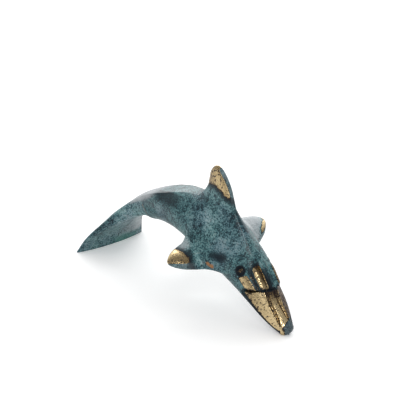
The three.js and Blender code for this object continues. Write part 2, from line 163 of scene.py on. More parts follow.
@dataclass(frozen=True)
class Spine:
    """The curve that every section of the animal stands on.

    The half width is pinched near the dorsal line by the crest. The back is flat as far as the flat's
    angle to each side, blunt, an exponent, squares the section, and the cup raises its sides. The roll
    lifts the left side. The fill makes the lower sides fuller about fill_x, at the cosine -fill_low.
    """

    stations: tuple[Station, ...] = (
        Station(0.24, -1.72, 18.9, 1.0, 0.0, 0.0, 0.6, 1.8, 1.0),
        Station(5.04, 9.8, 14.4, 1.7, 0.0, 30.0, 0.65, 0.0, 2.0),
        Station(21.0, 25.63, 4.7, 5.6, 0.0, 69.5, 1.0, 0.0, 7.0),
        Station(33.0, 32.51, 6.6, 9.6, 0.0, 76.4, 1.0, 0.0, 3.0),
        Station(48.0, 34.3, 9.4, 9.2, 0.1, 44.0, 1.0, 0.0, 2.5),
        Station(63.96, 34.4, 12.4, 10.3, 0.25, 13.0, 1.0, 0.0, 4.0),
        Station(79.8, 29.0, 11.6, 11.6, 0.27, 0.0, 1.0, 0.0, 5.5),
        Station(93.6, 21.5, 9.9, 9.9, 0.16, 0.0, 1.0, 0.0, 5.5),
        Station(102.84, 14.59, 8.2, 7.2, 0.04, 0.0, 1.0, 0.0, 10.0),
        Station(109.56, 8.91, 6.6, 4.4, 0.0, 0.0, 1.0, 0.0, 16.0),
        Station(114.36, 4.88, 4.9, 3.3, 0.0, 0.0, 1.0, 0.0, 19.0),
        Station(117.6, 2.24, 3.3, 2.5, 0.0, 0.0, 1.0, 0.0, 19.0),
    )
    nose: float = 2.3
    flatness: float = 0.85
    fill: float = 1.2
    fill_x: float = 27.0
    fill_reach: float = 10.0
    fill_low: float = 0.68
    fill_spread: float = 0.45
    samples: int = 4001
    step: float = 0.01

    @cached_property
    def table(self) -> Array:
        """The stations as rows, with one more at each end in line with the last two."""
        rows = np.array(self.stations)
        return np.vstack([2 * rows[0] - rows[1], rows, 2 * rows[-1] - rows[-2]])

    @property
    def last(self) -> int:
        """Parameter of the last station."""
        return len(self.stations) - 1

    @property
    def end_x(self) -> float:
        """x of the last station, where the beak's rounded end begins."""
        return self.stations[-1].x

    @cached_property
    def known_x(self) -> tuple[Array, Array]:
        """x along the curve and the parameters it belongs to."""
        t = np.linspace(0, self.last, self.samples)
        return self.values(t)[:, 0], t

    def values(self, t: Array) -> Array:
        """Station values at parameter t, on the Catmull-Rom cubic through four stations.

        Args:
            t: parameter, which counts the stations from 0.

        Returns:
            Values in the order of a station's.
        """
        t = np.clip(t, 0, self.last - 1e-9)
        i = np.floor(t).astype(int)
        f = (t - i)[..., None]
        a, b, c, d = (self.table[i + k] for k in range(4))
        bend = 2 * a - 5 * b + 4 * c - d
        return 0.5 * (2 * b + (c - a) * f + bend * f**2 + (3 * b - a - 3 * c + d) * f**3)

    def parameter(self, x: Array) -> Array:
        """Parameter of the section at x."""
        return np.interp(x, *self.known_x)

    def section(self, t: Array) -> Section:
        """Sections at parameter t, square to the curve and rolled about it.

        Args:
            t: parameter, which counts the stations from 0.

        Returns:
            The sections.
        """
        v = self.values(t)
        ahead = self.values(np.minimum(t + self.step, self.last))
        behind = self.values(np.maximum(t - self.step, 0))
        run = unit((ahead - behind)[..., :2])
        none = np.zeros_like(v[..., 0])
        roll = np.radians(v[..., 8])[..., None]
        forward = np.stack([run[..., 0], none, run[..., 1]], -1)
        above = np.stack([-run[..., 1], none, run[..., 0]], -1)
        across = np.stack([none, none + 1, none], -1)
        left = across * np.cos(roll) + above * np.sin(roll)
        dorsal = above * np.cos(roll) - across * np.sin(roll)
        centre = np.stack([v[..., 0], none, v[..., 1]], -1)
        return Section(centre, forward, left, dorsal, *np.moveaxis(v[..., 2:8], -1, 0))

    def at(self, x: Array | float) -> Section:
        """Sections at x."""
        return self.section(self.parameter(np.asarray(x)))

    def outline(self, x: Array, angle: Array) -> tuple[Section, Array, Array]:
        """Sections with the side and rise of their outline at an angle from the dorsal line.

        rise = height * cos^blunt + cup * sin^2, less the flatness's share of what stands above the flat's
        edges and less the fill, and side = width * sin * (1 - crest * cos^2(angle / 2)). Past the last
        station both shrink by the cosine of a quarter turn while the centre goes on by the nose's length
        times its sine.

        Args:
            x: place along the spine.
            angle: angle from the dorsal line, positive to the animal's left.

        Returns:
            The sections, the side and the rise.
        """
        at = self.at(x)
        past = np.clip((x - self.end_x) / self.nose, 0, 1) * TURN / 4
        centre = at.centre + at.forward * (self.nose * np.sin(past))[..., None]
        cosine, sine = np.cos(angle), np.sin(angle)
        above = np.maximum(cosine - np.cos(np.radians(np.maximum(at.flat, 0))), 0)
        squared = np.sign(cosine) * np.abs(cosine) ** at.blunt
        rise = at.height * (squared - self.flatness * above) + at.cup * sine**2
        fill = bell(x - self.fill_x, self.fill_reach) * bell(cosine + self.fill_low, self.fill_spread)
        rise = rise - self.fill * fill
        side = at.width * sine * (1 - at.crest * np.cos(angle / 2) ** 2)
        return at._replace(centre=centre), side * np.cos(past), rise * np.cos(past)

    def skin(self, x: Array, angle: Array) -> Array:
        """Points of the skin: centre + dorsal * rise + left * side."""
        at, side, rise = self.outline(x, angle)
        return at.centre + at.dorsal * rise[..., None] + at.left * side[..., None]

    def outward(self, x: Array, angle: Array) -> Array:
        """Unit normals of the skin, from the step along it and the step round it.

        Args:
            x: place along the spine.
            angle: angle from the dorsal line, positive to the animal's left.

        Returns:
            The unit vectors.
        """
        along = self.skin(x + self.step, angle) - self.skin(x - self.step, angle)
        around = self.skin(x, angle + self.step) - self.skin(x, angle - self.step)
        return unit(np.cross(along, around))

    def locate(self, points: Array, rounds: int = 12) -> tuple[Array, Array, Array]:
        """x, side and rise of points, on the section whose plane each one lies in.

        Args:
            points: places in millimetres.
            rounds: how often the section's parameter is stepped towards the point.

        Returns:
            The section's x, and the point's side and rise in it.
        """
        t = self.parameter(points[:, 0])
        for _ in range(rounds):
            at = self.section(t)
            pace = np.linalg.norm(self.values(t + self.step) - self.values(t), axis=-1) / self.step
            t = np.clip(t + dot(points - at.centre, at.forward) / pace, 0, self.last - 2 * self.step)
        reach = points - at.centre
        return self.values(t)[:, 0], dot(reach, at.left), dot(reach, at.dorsal)


@dataclass(frozen=True)
class SkinLine:
    """A line on the skin through places given as (x, degrees from the dorsal line)."""

    spine: Spine
    places: Knots
    samples: int = 48

    @cached_property
    def course(self) -> Array:
        """Points along the line."""
        key = np.linspace(0, len(self.places) - 1, self.samples)
        x, degrees = (np.interp(key, np.arange(len(self.places)), v) for v in zip(*self.places))
        return self.spine.skin(x, np.radians(degrees))

    def distance(self, points: Array) -> Array:
        """Distances of points to the nearest sample of the line."""
        gaps = points[:, None, :] - self.course
        return np.sqrt(dot(gaps, gaps).min(axis=1))


@dataclass(frozen=True)
class Shell:
    """A closed surface: rings of points joined by quads, with a fan of triangles over each end."""

    rings: Array
    start: Array
    end: Array

    @property
    def points(self) -> Array:
        """All points, with the two that close the ends last."""
        return np.vstack([self.rings.reshape(-1, 3), self.start, self.end])

    @property
    def faces(self) -> list[list[int]]:
        """Quads between neighbouring rings, then the triangles over the first and the last ring."""
        count, around = self.rings.shape[:2]
        index = np.arange(count * around).reshape(count, around)
        onward = np.roll(index, -1, axis=1)
        quads = np.stack([index[:-1], index[1:], onward[1:], onward[:-1]], -1).reshape(-1, 4)
        first = np.stack([np.full(around, index.size), index[0], onward[0]], -1)
        last = np.stack([np.full(around, index.size + 1), onward[-1], index[-1]], -1)
        return quads.tolist() + first.tolist() + last.tolist()


class WearAndLight(Enum):
    """Named amounts, from 0 to 1, that a piece's mesh carries for its finish and its painted light."""

    BARE = "bare"
    # SHADE holds painted shade as well as dark patina, and PALE painted sheen as well as grey patina.
    SHADE = "shade"
    COPPER = "copper"
    GREEN = "green"
    PALE = "pale"


def mark(piece: bpy.types.Object, wear: dict[WearAndLight, Array]) -> None:
    """Store amounts of wear, painted light included, on the piece's points.

    Args:
        piece: the object.
        wear: an amount for each point, by kind; kinds left out are 0.
    """
    nothing = np.zeros(len(piece.data.vertices))
    for kind in WearAndLight:
        store = piece.data.attributes.new(kind.value, "FLOAT", "POINT")
        store.data.foreach_set("value", np.clip(wear.get(kind, nothing), 0, 1).astype(np.float32))


@dataclass(frozen=True)
class Workshop:
    """Makes Blender objects from shells given on the spine's axes."""

    shift: Array
    sharp: float = math.radians(50)

    @classmethod
    def on_frame(cls, spine: Spine, joint_x: float, drop: float) -> "Workshop":
        """Place the spine in the row by the tail's dowel.

        Args:
            spine: the spine.
            joint_x: where the dowel's middle lies along it.
            drop: how far below the spine it lies.

        Returns:
            A workshop that moves points from the spine's axes to the row's.
        """
        low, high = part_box("tail_dowel")
        at = spine.at(joint_x)
        return cls((np.array(low) + np.array(high)) / (2 * MM) - at.centre + at.dorsal * drop)

    def row(self, points: Array) -> Array:
        """Points of the spine's axes as metres in the row frame."""
        return (points + self.shift) * MM

    def mesh(self, name: str, shell: Shell) -> bpy.types.Object:
        """An object of the shell's points and faces.

        Args:
            name: the object's name.
            shell: the surface.

        Returns:
            The object.
        """
        data = bpy.data.meshes.new(name)
        data.from_pydata(self.row(shell.points).tolist(), [], shell.faces)
        piece = bpy.data.objects.new(name, data)
        bpy.context.scene.collection.objects.link(piece)
        return piece

    def united(self, name: str, shells: list[Shell]) -> bpy.types.Object:
        """One object of the first shell joined with the others, cut along the lines where they meet.

        Args:
            name: the object's name.
            shells: surfaces that overlap, the main one first.

        Returns:
            The object.
        """
        whole, *rest = [self.mesh(f"{name}_{i}", shell) for i, shell in enumerate(shells)]
        for part in rest:
            join = whole.modifiers.new(part.name, "BOOLEAN")
            join.operation = "UNION"
            join.solver = "EXACT"
            join.object = part
        depsgraph = bpy.context.evaluated_depsgraph_get()
        data = bpy.data.meshes.new_from_object(whole.evaluated_get(depsgraph))
        for part in [whole, *rest]:
            spare = part.data
            bpy.data.objects.remove(part)
            bpy.data.meshes.remove(spare)
        data.name = name
        piece = bpy.data.objects.new(name, data)
        bpy.context.scene.collection.objects.link(piece)
        return piece

    def points(self, piece: bpy.types.Object) -> Array:
        """The points of an object on the spine's axes.

        Args:
            piece: the object.

        Returns:
            Places in millimetres.
        """
        flat = np.empty(3 * len(piece.data.vertices), np.float32)
        piece.data.vertices.foreach_get("co", flat)
        return flat.reshape(-1, 3).astype(float) / MM - self.shift

    def worn(self, piece: bpy.types.Object, wear: Callable[[Array], dict[WearAndLight, Array]]) -> bpy.types.Object:
        """The piece, with the wear that belongs to its points stored on them."""
        mark(piece, wear(self.points(piece)))
        return piece

    def finish(self, piece: bpy.types.Object, node: str, slot: str, coat: bpy.types.Material) -> None:
        """Smooth the piece, dress it and put it in the place of its node.

        Args:
            piece: the object.
            node: the node that it stands for.
            slot: the record's material slot; not used.
            coat: the material.
        """
        piece.data.polygons.foreach_set("use_smooth", np.ones(len(piece.data.polygons), bool))
        piece.data.set_sharp_from_angle(angle=self.sharp)
        piece.data.materials.clear()
        piece.data.materials.append(coat)
        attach(piece, BODY)
        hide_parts(node)
        log.info("%s: %d faces", piece.name, len(piece.data.polygons))


@dataclass(frozen=True)
class Rub:
    """How a fin is worn, with degrees counted round the blade from its leading edge.

    Border gives the share of the span at which the bare tip begins, by degrees. Edge gives the degrees
    as far as which the leading edge stays dark, by share. Brown gives how brown the bare metal is, by
    degrees past that edge, and grey_and_sheen how much painted sheen, a painted reflection, pales the
    patina, by degrees. Rim is how dark it is at the border. The spans say over which shares past the
    border, or degrees past the edge, a change takes place.
    """

    border: Knots
    edge: Knots
    brown: Knots
    rim: float
    grey_and_sheen: Knots = ((0, 0), (180, 0))
    border_fray: Span = (-0.05, 0.055)
    edge_fray: Span = (-9, 4)
    rim_start: Span = (-0.15, -0.02)
    rim_end: Span = (0.05, 0.01)
    lead_start: Span = (-0.15, 0)
    lead_end: Span = (3, -6)
    lead_dark: float = 0.6
    lead_pale: float = 0.5
    metal: Span = (0.3, 0.7)
    fin_sheen_start: Span = (0.42, 0.56)
    fin_sheen_end: Span = (0, -0.1)


@dataclass(frozen=True)
class Fin:
    """A fin: a tapering blade whose foot flares out to an oval skirt on the trunk's skin.

    The blade runs from the spine at x, less the drop, by sweep, side and rise to its tip, with its chord
    along the spine. The skirt is centred at skirt_x and skirt_angle. The flare goes over into the blade at
    the free share of the span, and the fin is parted square to its axis, joint millimetres from the root.
    """

    spine: Spine
    x: float
    drop: float
    sweep: float
    side: float
    rise: float
    root_chord: float
    tip_chord: float
    root_thick: float
    tip_thick: float
    tip_round: float
    free: float
    skirt_x: float
    skirt_angle: float
    skirt_back: float
    skirt_front: float
    skirt_spread: float
    joint: float
    pull: float
    rub: Rub
    sink: float = 0.03
    lift: float = 0.10
    around: int = 144

    @cached_property
    def at(self) -> Section:
        """The section that the fin stands on."""
        return self.spine.at(self.x)

    @cached_property
    def root(self) -> Array:
        """Point on the section that the blade starts from."""
        return self.at.centre - self.at.dorsal * self.drop

    @cached_property
    def span(self) -> Array:
        """Vector from the root to the tip."""
        return self.at.forward * self.sweep + self.at.left * self.side + self.at.dorsal * self.rise

    @cached_property
    def axis(self) -> Array:
        """Direction from the root to the tip."""
        return unit(self.span)

    @cached_property
    def thick(self) -> Array:
        """Direction square to the blade."""
        return unit(np.cross(self.axis, self.at.forward))

    @cached_property
    def turns(self) -> Array:
        """Angles round the blade, from its leading edge."""
        return -np.arange(self.around) * TURN / self.around

    def blade(self, share: Array, turn: Array) -> Array:
        """Blade points: an ellipse at each share of the span, rounded like one towards the tip.

        Args:
            share: share of the span.
            turn: angle round the blade from its leading edge.

        Returns:
            The points.
        """
        length = np.linalg.norm(self.span)
        to_tip = np.clip((1 - share) * length / self.tip_round, 0, 1)
        full = np.sqrt(1 - (1 - to_tip) ** 2)
        chord = (self.root_chord + (self.tip_chord - self.root_chord) * share) * full * np.cos(turn)
        depth = (self.root_thick + (self.tip_thick - self.root_thick) * share) * full * np.sin(turn)
        out = self.span * share[..., None]
        return self.root + out + self.at.forward * chord[..., None] + self.thick * depth[..., None]

    def flare(self, share: Array, turn: Array) -> Array:
        """Flare points: a cubic from the skirt, which leaves the skin at the lift's slope, to the blade.

        Args:
            share: share of the way from the skirt to the blade.
            turn: angle round the blade from its leading edge.

        Returns:
            The points.
        """
        reach = np.where(np.cos(turn) > 0, self.skirt_front, self.skirt_back)
        x = self.skirt_x + reach * np.cos(turn)
        angle = np.radians(self.skirt_angle * np.sign(self.side) + self.skirt_spread * np.sin(turn))
        outward = self.spine.outward(x, angle)
        start = self.spine.skin(x, angle) - outward * self.sink
        end = self.blade(np.full_like(turn, self.free), turn)
        way = end - start
        flat = way - outward * dot(way, outward)[..., None]
        leave = flat + outward * np.linalg.norm(flat, axis=-1, keepdims=True) * self.lift
        arrive = self.axis * np.linalg.norm(way, axis=-1, keepdims=True) * self.pull
        q = share[..., None]
        ends = start * (2 * q**3 - 3 * q**2 + 1) + end * (3 * q**2 - 2 * q**3)
        return ends + leave * (q**3 - 2 * q**2 + q) + arrive * (q**3 - q**2)

    @cached_property
    def parting(self) -> Array:
        """Share of the flare, at each turn, at which it meets the joint's plane."""
        none = np.zeros(self.around)

        def above(share: Array) -> Array:
            """How far the flare's points lie beyond the plane."""
            return dot(self.flare(share, self.turns) - self.root, self.axis) - self.joint

        return solve(above, none, none + 1)

    def stump(self, rings: int = 40) -> Shell:
        """The flare from the skirt to the joint's plane.

        Args:
            rings: how many rings it has.

        Returns:
            The closed surface.
        """
        share = np.linspace(0, 1, rings)[:, None] * self.parting
        grid = self.flare(share, np.broadcast_to(self.turns, share.shape))
        return Shell(grid, self.root, grid[-1].mean(0))

    def casting(self, flare_rings: int = 10, blade_rings: int = 44) -> Shell:
        """The fin beyond the joint's plane: what is left of the flare, then the blade to its tip.

        Args:
            flare_rings: how many rings the flare has.
            blade_rings: how many the blade has.

        Returns:
            The closed surface.
        """
        share = self.parting + np.linspace(0, 1, flare_rings, endpoint=False)[:, None] * (1 - self.parting)
        foot = self.flare(share, np.broadcast_to(self.turns, share.shape))
        out = np.sin(np.linspace(0, TURN / 4, blade_rings, endpoint=False))[:, None]
        out = self.free + (1 - self.free) * np.broadcast_to(out, (blade_rings, self.around))
        tip = self.blade(out, np.broadcast_to(self.turns, out.shape))
        return Shell(np.concatenate([foot, tip]), foot[0].mean(0), self.root + self.span)

    def place(self, points: Array) -> tuple[Array, Array]:
        """Where points near the blade lie on it.

        Span and chord aren't square to each other: the share s and the chord c follow from the point's
        reach along the axis, s * length + c * slant, and along the chord, s * length * slant + c.

        Args:
            points: places in millimetres.

        Returns:
            The share of the span, and the degrees round from the leading edge.
        """
        reach = points - self.root
        slant = dot(self.at.forward, self.axis)
        out, ahead = dot(reach, self.axis), dot(reach, self.at.forward)
        share = (out - slant * ahead) / (1 - slant**2) / np.linalg.norm(self.span)
        chord = (ahead - slant * out) / (1 - slant**2)
        half = self.root_chord + (self.tip_chord - self.root_chord) * share
        deep = self.root_thick + (self.tip_thick - self.root_thick) * share
        return share, np.degrees(np.arctan2(np.abs(dot(reach, self.thick)) / deep, chord / half))

    def wear(self, points: Array) -> dict[WearAndLight, Array]:
        """Rubbed bare from its border to the tip; dark just short of the border, grey on the leading edge.

        Args:
            points: places in millimetres.

        Returns:
            Amounts for the points, by kind of wear.
        """
        rub = self.rub
        share, turn = self.place(points)
        past = share - bent(turn, rub.border)
        behind = turn - bent(share, rub.edge)
        bare = ease(*rub.border_fray, past) * ease(*rub.edge_fray, behind)
        rim = rub.rim * ease(*rub.rim_start, past) * ease(*rub.rim_end, past)
        lead = rub.rim * ease(*rub.lead_end, behind) * ease(*rub.lead_start, past)
        brown = bent(behind, rub.brown) * ease(*rub.metal, bare)
        shade = np.maximum.reduce([rim, rub.lead_dark * lead, brown])
        # pale: the painted sheen, and grey on the leading edge.
        pale = np.maximum(self.grey_and_sheen(points), rub.lead_pale * lead)
        return {WearAndLight.BARE: bare, WearAndLight.SHADE: shade, WearAndLight.PALE: pale}

    def grey_and_sheen(self, points: Array) -> Array:
        """How much painted sheen, a painted reflection, pales the blade and its flare, short of the bare
        tip.

        Args:
            points: places in millimetres.

        Returns:
            The amounts.
        """
        rub = self.rub
        share, turn = self.place(points)
        past = share - bent(turn, rub.border)
        return bent(turn, rub.grey_and_sheen) * ease(*rub.fin_sheen_start, share) * ease(*rub.fin_sheen_end, past)

    def build(self, workshop: Workshop, name: str) -> bpy.types.Object:
        """The fin's piece, with its wear."""
        return workshop.worn(workshop.mesh(name, self.casting()), self.wear)


@dataclass(frozen=True)
class Snout:
    """The joint between forehead and beak: the forehead's underside, then square down to the throat."""

    spine: Spine
    corner_x: float = 101.04
    rise: float = 7.5
    mouth_angle: float = 97.0
    crease_reach: float = 0.9
    crease_depth: float = 0.6
    crease_places: int = 41
    crease_samples: int = 160

    @cached_property
    def corner(self) -> Section:
        """The section at the corners of the mouth."""
        return self.spine.at(self.corner_x)

    def start_x(self, angle: Array) -> Array:
        """x at which the skin passes into the beak: below the forehead and ahead of the throat.

        Args:
            angle: angles from the dorsal line.

        Returns:
            x for each angle.
        """
        slope = math.radians(self.rise)
        down = np.array([math.sin(slope), 0, -math.cos(slope)])

        def depth(x: Array) -> Array:
            """How far the skin lies below the forehead and ahead of the throat, by the lesser of the two."""
            gap = self.spine.skin(x, angle) - self.corner.centre
            return np.minimum(dot(gap, down), dot(gap, self.corner.forward))

        low = np.full_like(angle, self.corner_x - self.spine.stations[-1].width)
        return solve(depth, low, np.full_like(angle, self.spine.end_x))

    @cached_property
    def crease(self) -> SkinLine:
        """The crease, from one corner of the mouth over the beak to the other."""
        degrees = np.linspace(-self.mouth_angle, self.mouth_angle, self.crease_places)
        x = self.start_x(np.radians(degrees))
        return SkinLine(self.spine, tuple(zip(x.tolist(), degrees.tolist())), self.crease_samples)

    def to_crease(self, points: Array) -> Array:
        """Distances of points to the crease."""
        return self.crease.distance(points)

    def dip(self, points: Array) -> Array:
        """How deep the crease is cut at points of the skin."""
        return self.crease_depth * bell(self.to_crease(points), self.crease_reach)


@dataclass(frozen=True)
class Eye:
    """A domed stud in its socket, on the animal's right or left hand."""

    spine: Spine
    hand: int
    x: float = 96.0
    degrees: float = 60.0
    diameter: float = 2.4
    dome: float = 0.35
    sunk: float = 0.3
    shank: float = 1.6
    bare: float = 0.55
    brown: float = 0.7
    around: int = 48
    rings: int = 14

    @property
    def place(self) -> tuple[Array, Array]:
        """x and angle of its middle on the skin."""
        return np.array(self.x), np.array(math.radians(self.degrees * self.hand))

    def distance(self, points: Array) -> Array:
        """Distances of points to its middle on the skin."""
        return np.linalg.norm(points - self.spine.skin(*self.place), axis=-1)

    def shell(self) -> Shell:
        """A shank under half an ellipsoid, turned about the skin's normal.

        Returns:
            The closed surface.
        """
        outward = self.spine.outward(*self.place)
        middle = self.spine.skin(*self.place) - outward * self.sunk
        across = unit(np.cross(outward, [0.0, 0.0, 1.0]))
        turn = around_angles(self.around)[:, None]
        spoke = across * np.cos(turn) + np.cross(outward, across) * np.sin(turn)
        lift = np.linspace(0, TURN / 4, self.rings, endpoint=False)
        radius = np.concatenate([[1.0], np.cos(lift)])[:, None, None] * self.diameter / 2
        height = np.concatenate([[-self.shank], self.dome * np.sin(lift)])[:, None, None]
        rings = middle + spoke * radius + outward * height
        return Shell(rings, middle - outward * self.shank, middle + outward * self.dome)

    def wear(self, points: Array) -> dict[WearAndLight, Array]:
        """Dull brown metal all over."""
        every = np.ones(len(points))
        return {WearAndLight.BARE: self.bare * every, WearAndLight.SHADE: self.brown * every}

    def build(self, workshop: Workshop, name: str) -> bpy.types.Object:
        """The eye's piece, with its wear."""
        return workshop.worn(workshop.mesh(name, self.shell()), self.wear)


def lanes(side: Array, *borders: Array) -> Array:
    """Which lane a place lies in: 0 at the midline, 1 at the first border, and so on.

    Past the last border the lane goes on by 1 for each millimetre.

    Args:
        side: distance from the midline.
        borders: distances of the borders, from the inside outwards.

    Returns:
        The lane, with the share of the way across it.
    """
    lane = np.zeros_like(side)
    inner = np.zeros_like(side)
    for border in borders:
        lane += np.clip((side - inner) / (border - inner), 0, 1)
        inner = border
    return lane + np.clip(side - inner, 0, None)


class Band(NamedTuple):
    """A form or mark along the head: its amount, the x over which it comes up, and its profile by lane."""

    amount: float
    start: Span
    profile: Knots

    def at(self, x: Array, lane: Array) -> Array:
        """The amount at places on the head."""
        return self.amount * ease(*self.start, x) * bent(lane, self.profile)


@dataclass(frozen=True)
class HeadWear:
    """The head's wear and painted shade: bare bands, and dark or brown ones by lane, by x and by degrees."""

    brow: Band = Band(1, (97, 98), ((1.8, 0), (2, 1), (2.75, 1), (3.05, 0)))
    wall: Band = Band(0.9, (97, 98.2), ((0.95, 0), (1.1, 1), (1.9, 1), (2, 0)))
    groove: Band = Band(0.3, (97.5, 99.5), ((3, 0), (3.3, 1), (4, 1), (4.3, 0)))
    brow_middle: float = 2.1
    left_bare: float = 0.6
    left_brown: float = 0.6
    front: Span = (96.6, 97.4)
    cheek_lane: float = 4.2
    cheek_top: Span = (44, 48)
    cheek_foot: Span = (77, 69)
    cheek_start: Span = (97.2, 98.4)
    cheek_middle: float = 60.0
    cheek_slant: float = 0.06
    cheek_brown: Knots = ((48, 0), (60, 0.12), (76, 0.5))
    # trough_*: brown patina in the trough, and painted shade where its bare wall mirrors the dark.
    trough_dark: Knots = ((0.8, 0), (1.05, 1), (1.8, 0.9), (2, 0))
    trough_run: Knots = ((94.5, 0), (96.5, 0.5), (97.5, 1), (100, 0.95), (102.5, 0.85), (104, 0.4))
    trough_left: float = 0.15
    # melon_*: painted shade on the melon, growing towards its front.
    melon_dark: Knots = ((0, 0.8), (1, 1), (1.1, 0))
    melon_run: Knots = ((97, 0.2), (100, 0.6), (103, 0.9))
    melon_left: float = 0.6
    groove_dark: Knots = ((3, 0.2), (3.2, 0.75), (3.9, 0.5), (4.3, 0.7), (4.7, 0))
    crease_bare: Span = (0.35, 0.8)
    crease_dark: float = 1.4
    ring_dark: Span = (2.8, 1.9)


@dataclass(frozen=True)
class Head:
    """Relief and wear of the head, in lanes that run forward on each side of a line left of the dorsal one.

    Up to 1 lies the melon, up to 2 the trough's wall and up to 3 the brow's face. Past 3, counted in
    millimetres, come the groove and the cheek. Edges are the distances of the three borders, by x.
    """

    snout: Snout
    eyes: tuple[Eye, ...]
    lean: float = 1.2
    edges: tuple[Knots, ...] = (
        ((97, 1.9), (100, 1.6), (104, 1.4)),
        ((97, 5.0), (98, 4.7), (100, 4.1), (104, 3.9)),
        ((97, 5.1), (98.8, 5.6), (101, 5.5), (105, 5.0)),
    )
    melon: Band = Band(0.35, (95.5, 99), ((0, 1), (0.5, 0.8), (1.1, 0)))
    trough: Band = Band(-0.65, (96.2, 97.2), ((0.5, 0), (1.15, 1), (2, 0)))
    brow: Band = Band(0.6, (96.8, 99.5), ((1.2, 0), (2, 1), (3, 0.5), (3.2, 0)))
    groove: Band = Band(-0.3, (97.5, 99), ((3, 0), (3.4, 1), (4.1, 1), (5, 0)))
    ring_radius: float = 1.55
    ring_width: float = 0.6
    ring_depth: float = 0.45
    half_width: float = 8.3
    half_height: float = 7.6
    worn: HeadWear = HeadWear()

    def lane(self, x: Array, side: Array) -> Array:
        """Lanes of places on the head."""
        return lanes(np.abs(side - self.lean), *(bent(x, edge) for edge in self.edges))

    def relief(self, x: Array, side: Array, points: Array) -> Array:
        """How far the skin stands out: the four forms, less the crease and the rings round the eyes.

        Args:
            x: place along the spine.
            side: distance to the left of the dorsal line.
            points: the same places in millimetres.

        Returns:
            Heights in millimetres, negative inwards.
        """
        lane = self.lane(x, side)
        height = sum(form.at(x, lane) for form in (self.melon, self.trough, self.brow, self.groove))
        height = height - self.snout.dip(points)
        for eye in self.eyes:
            height -= self.ring_depth * bell(eye.distance(points) - self.ring_radius, self.ring_width)
        return height

    def wear(self, x: Array, side: Array, rise: Array, points: Array) -> tuple[Array, Array]:
        """Brows, cheeks and the right trough's wall are bare, the groove in specks; hollows are dark.

        Args:
            x: place along the spine.
            side: distance to the left of the dorsal line.
            rise: height above the spine.
            points: the same places in millimetres.

        Returns:
            How bare and how dark each place is.
        """
        worn = self.worn
        front = ease(*worn.front, x) * (rise > 0)
        lane = self.lane(x, side)
        right = side < self.lean
        angle = np.degrees(np.arctan2(np.abs(side) / self.half_width, rise / self.half_height))
        crease = self.snout.to_crease(points)
        brow = worn.brow.at(x - np.abs(lane - worn.brow_middle), lane)
        cheek = ease(*worn.cheek_top, angle) * ease(*worn.cheek_foot, angle) * (lane > worn.cheek_lane)
        cheek = cheek * ease(*worn.cheek_start, x + worn.cheek_slant * (angle - worn.cheek_middle))
        inner = np.where(right, np.maximum(brow, worn.wall.at(x, lane)), worn.left_bare * brow)
        bare = np.maximum.reduce([inner, worn.groove.at(x, lane), cheek]) * front
        # Painted shade on the melon.
        melon = bent(lane, worn.melon_dark) * bent(x, worn.melon_run) * front
        # Brown patina in the trough, with painted shade on its bare wall.
        trough = bent(lane, worn.trough_dark) * bent(x, worn.trough_run)
        dark = [
            trough * np.where(right, 1, worn.trough_left),
            melon * np.where(right, 1, worn.melon_left),
            bent(lane, worn.groove_dark) * front,
            bent(angle, worn.cheek_brown) * cheek,
            np.where(right, 0, worn.left_brown * brow),
            bell(crease, worn.crease_dark),
            *(ease(*worn.ring_dark, eye.distance(points)) for eye in self.eyes),
        ]
        return bare * ease(*worn.crease_bare, crease), np.maximum.reduce(dark)


@dataclass(frozen=True)
class Stock:
    """The tail stock: where trunk and tail meet, and the copper seam and painted sheen that both carry."""

    spine: Spine
    joint_x: float = 31.2
    dowel_drop: float = 2.0
    seam_amount: float = 0.6
    seam_reach: float = 0.6
    seam_low: Span = (0, -2)
    # The sheen is a painted reflection of the light on the flat back, laid on as pale patina.
    sheen_amount: float = 0.75
    sheen_edge: Span = (20, 2)
    sheen_start: Span = (17, 25)
    sheen_end: Span = (48, 36)

    def seam(self, x: Array, side: Array, rise: Array) -> Array:
        """Coppery line low on the right side of the joint."""
        low = ease(*self.seam_low, side) * ease(*self.seam_low, rise)
        return self.seam_amount * bell(x - self.joint_x, self.seam_reach) * low

    def painted_sheen(self, x: Array, side: Array, rise: Array) -> Array:
        """Painted sheen: a painted reflection that pales the patina on the flat back, fading past its edges.

        Args:
            x: place along the spine.
            side: distance to the left of the dorsal line.
            rise: height above the spine.

        Returns:
            The amounts.
        """
        at = self.spine.at(x)
        angle = np.degrees(np.arctan2(np.abs(side) / at.width, rise / at.height))
        run = ease(*self.sheen_start, x) * ease(*self.sheen_end, x)
        return self.sheen_amount * ease(*self.sheen_edge, angle - at.flat) * run


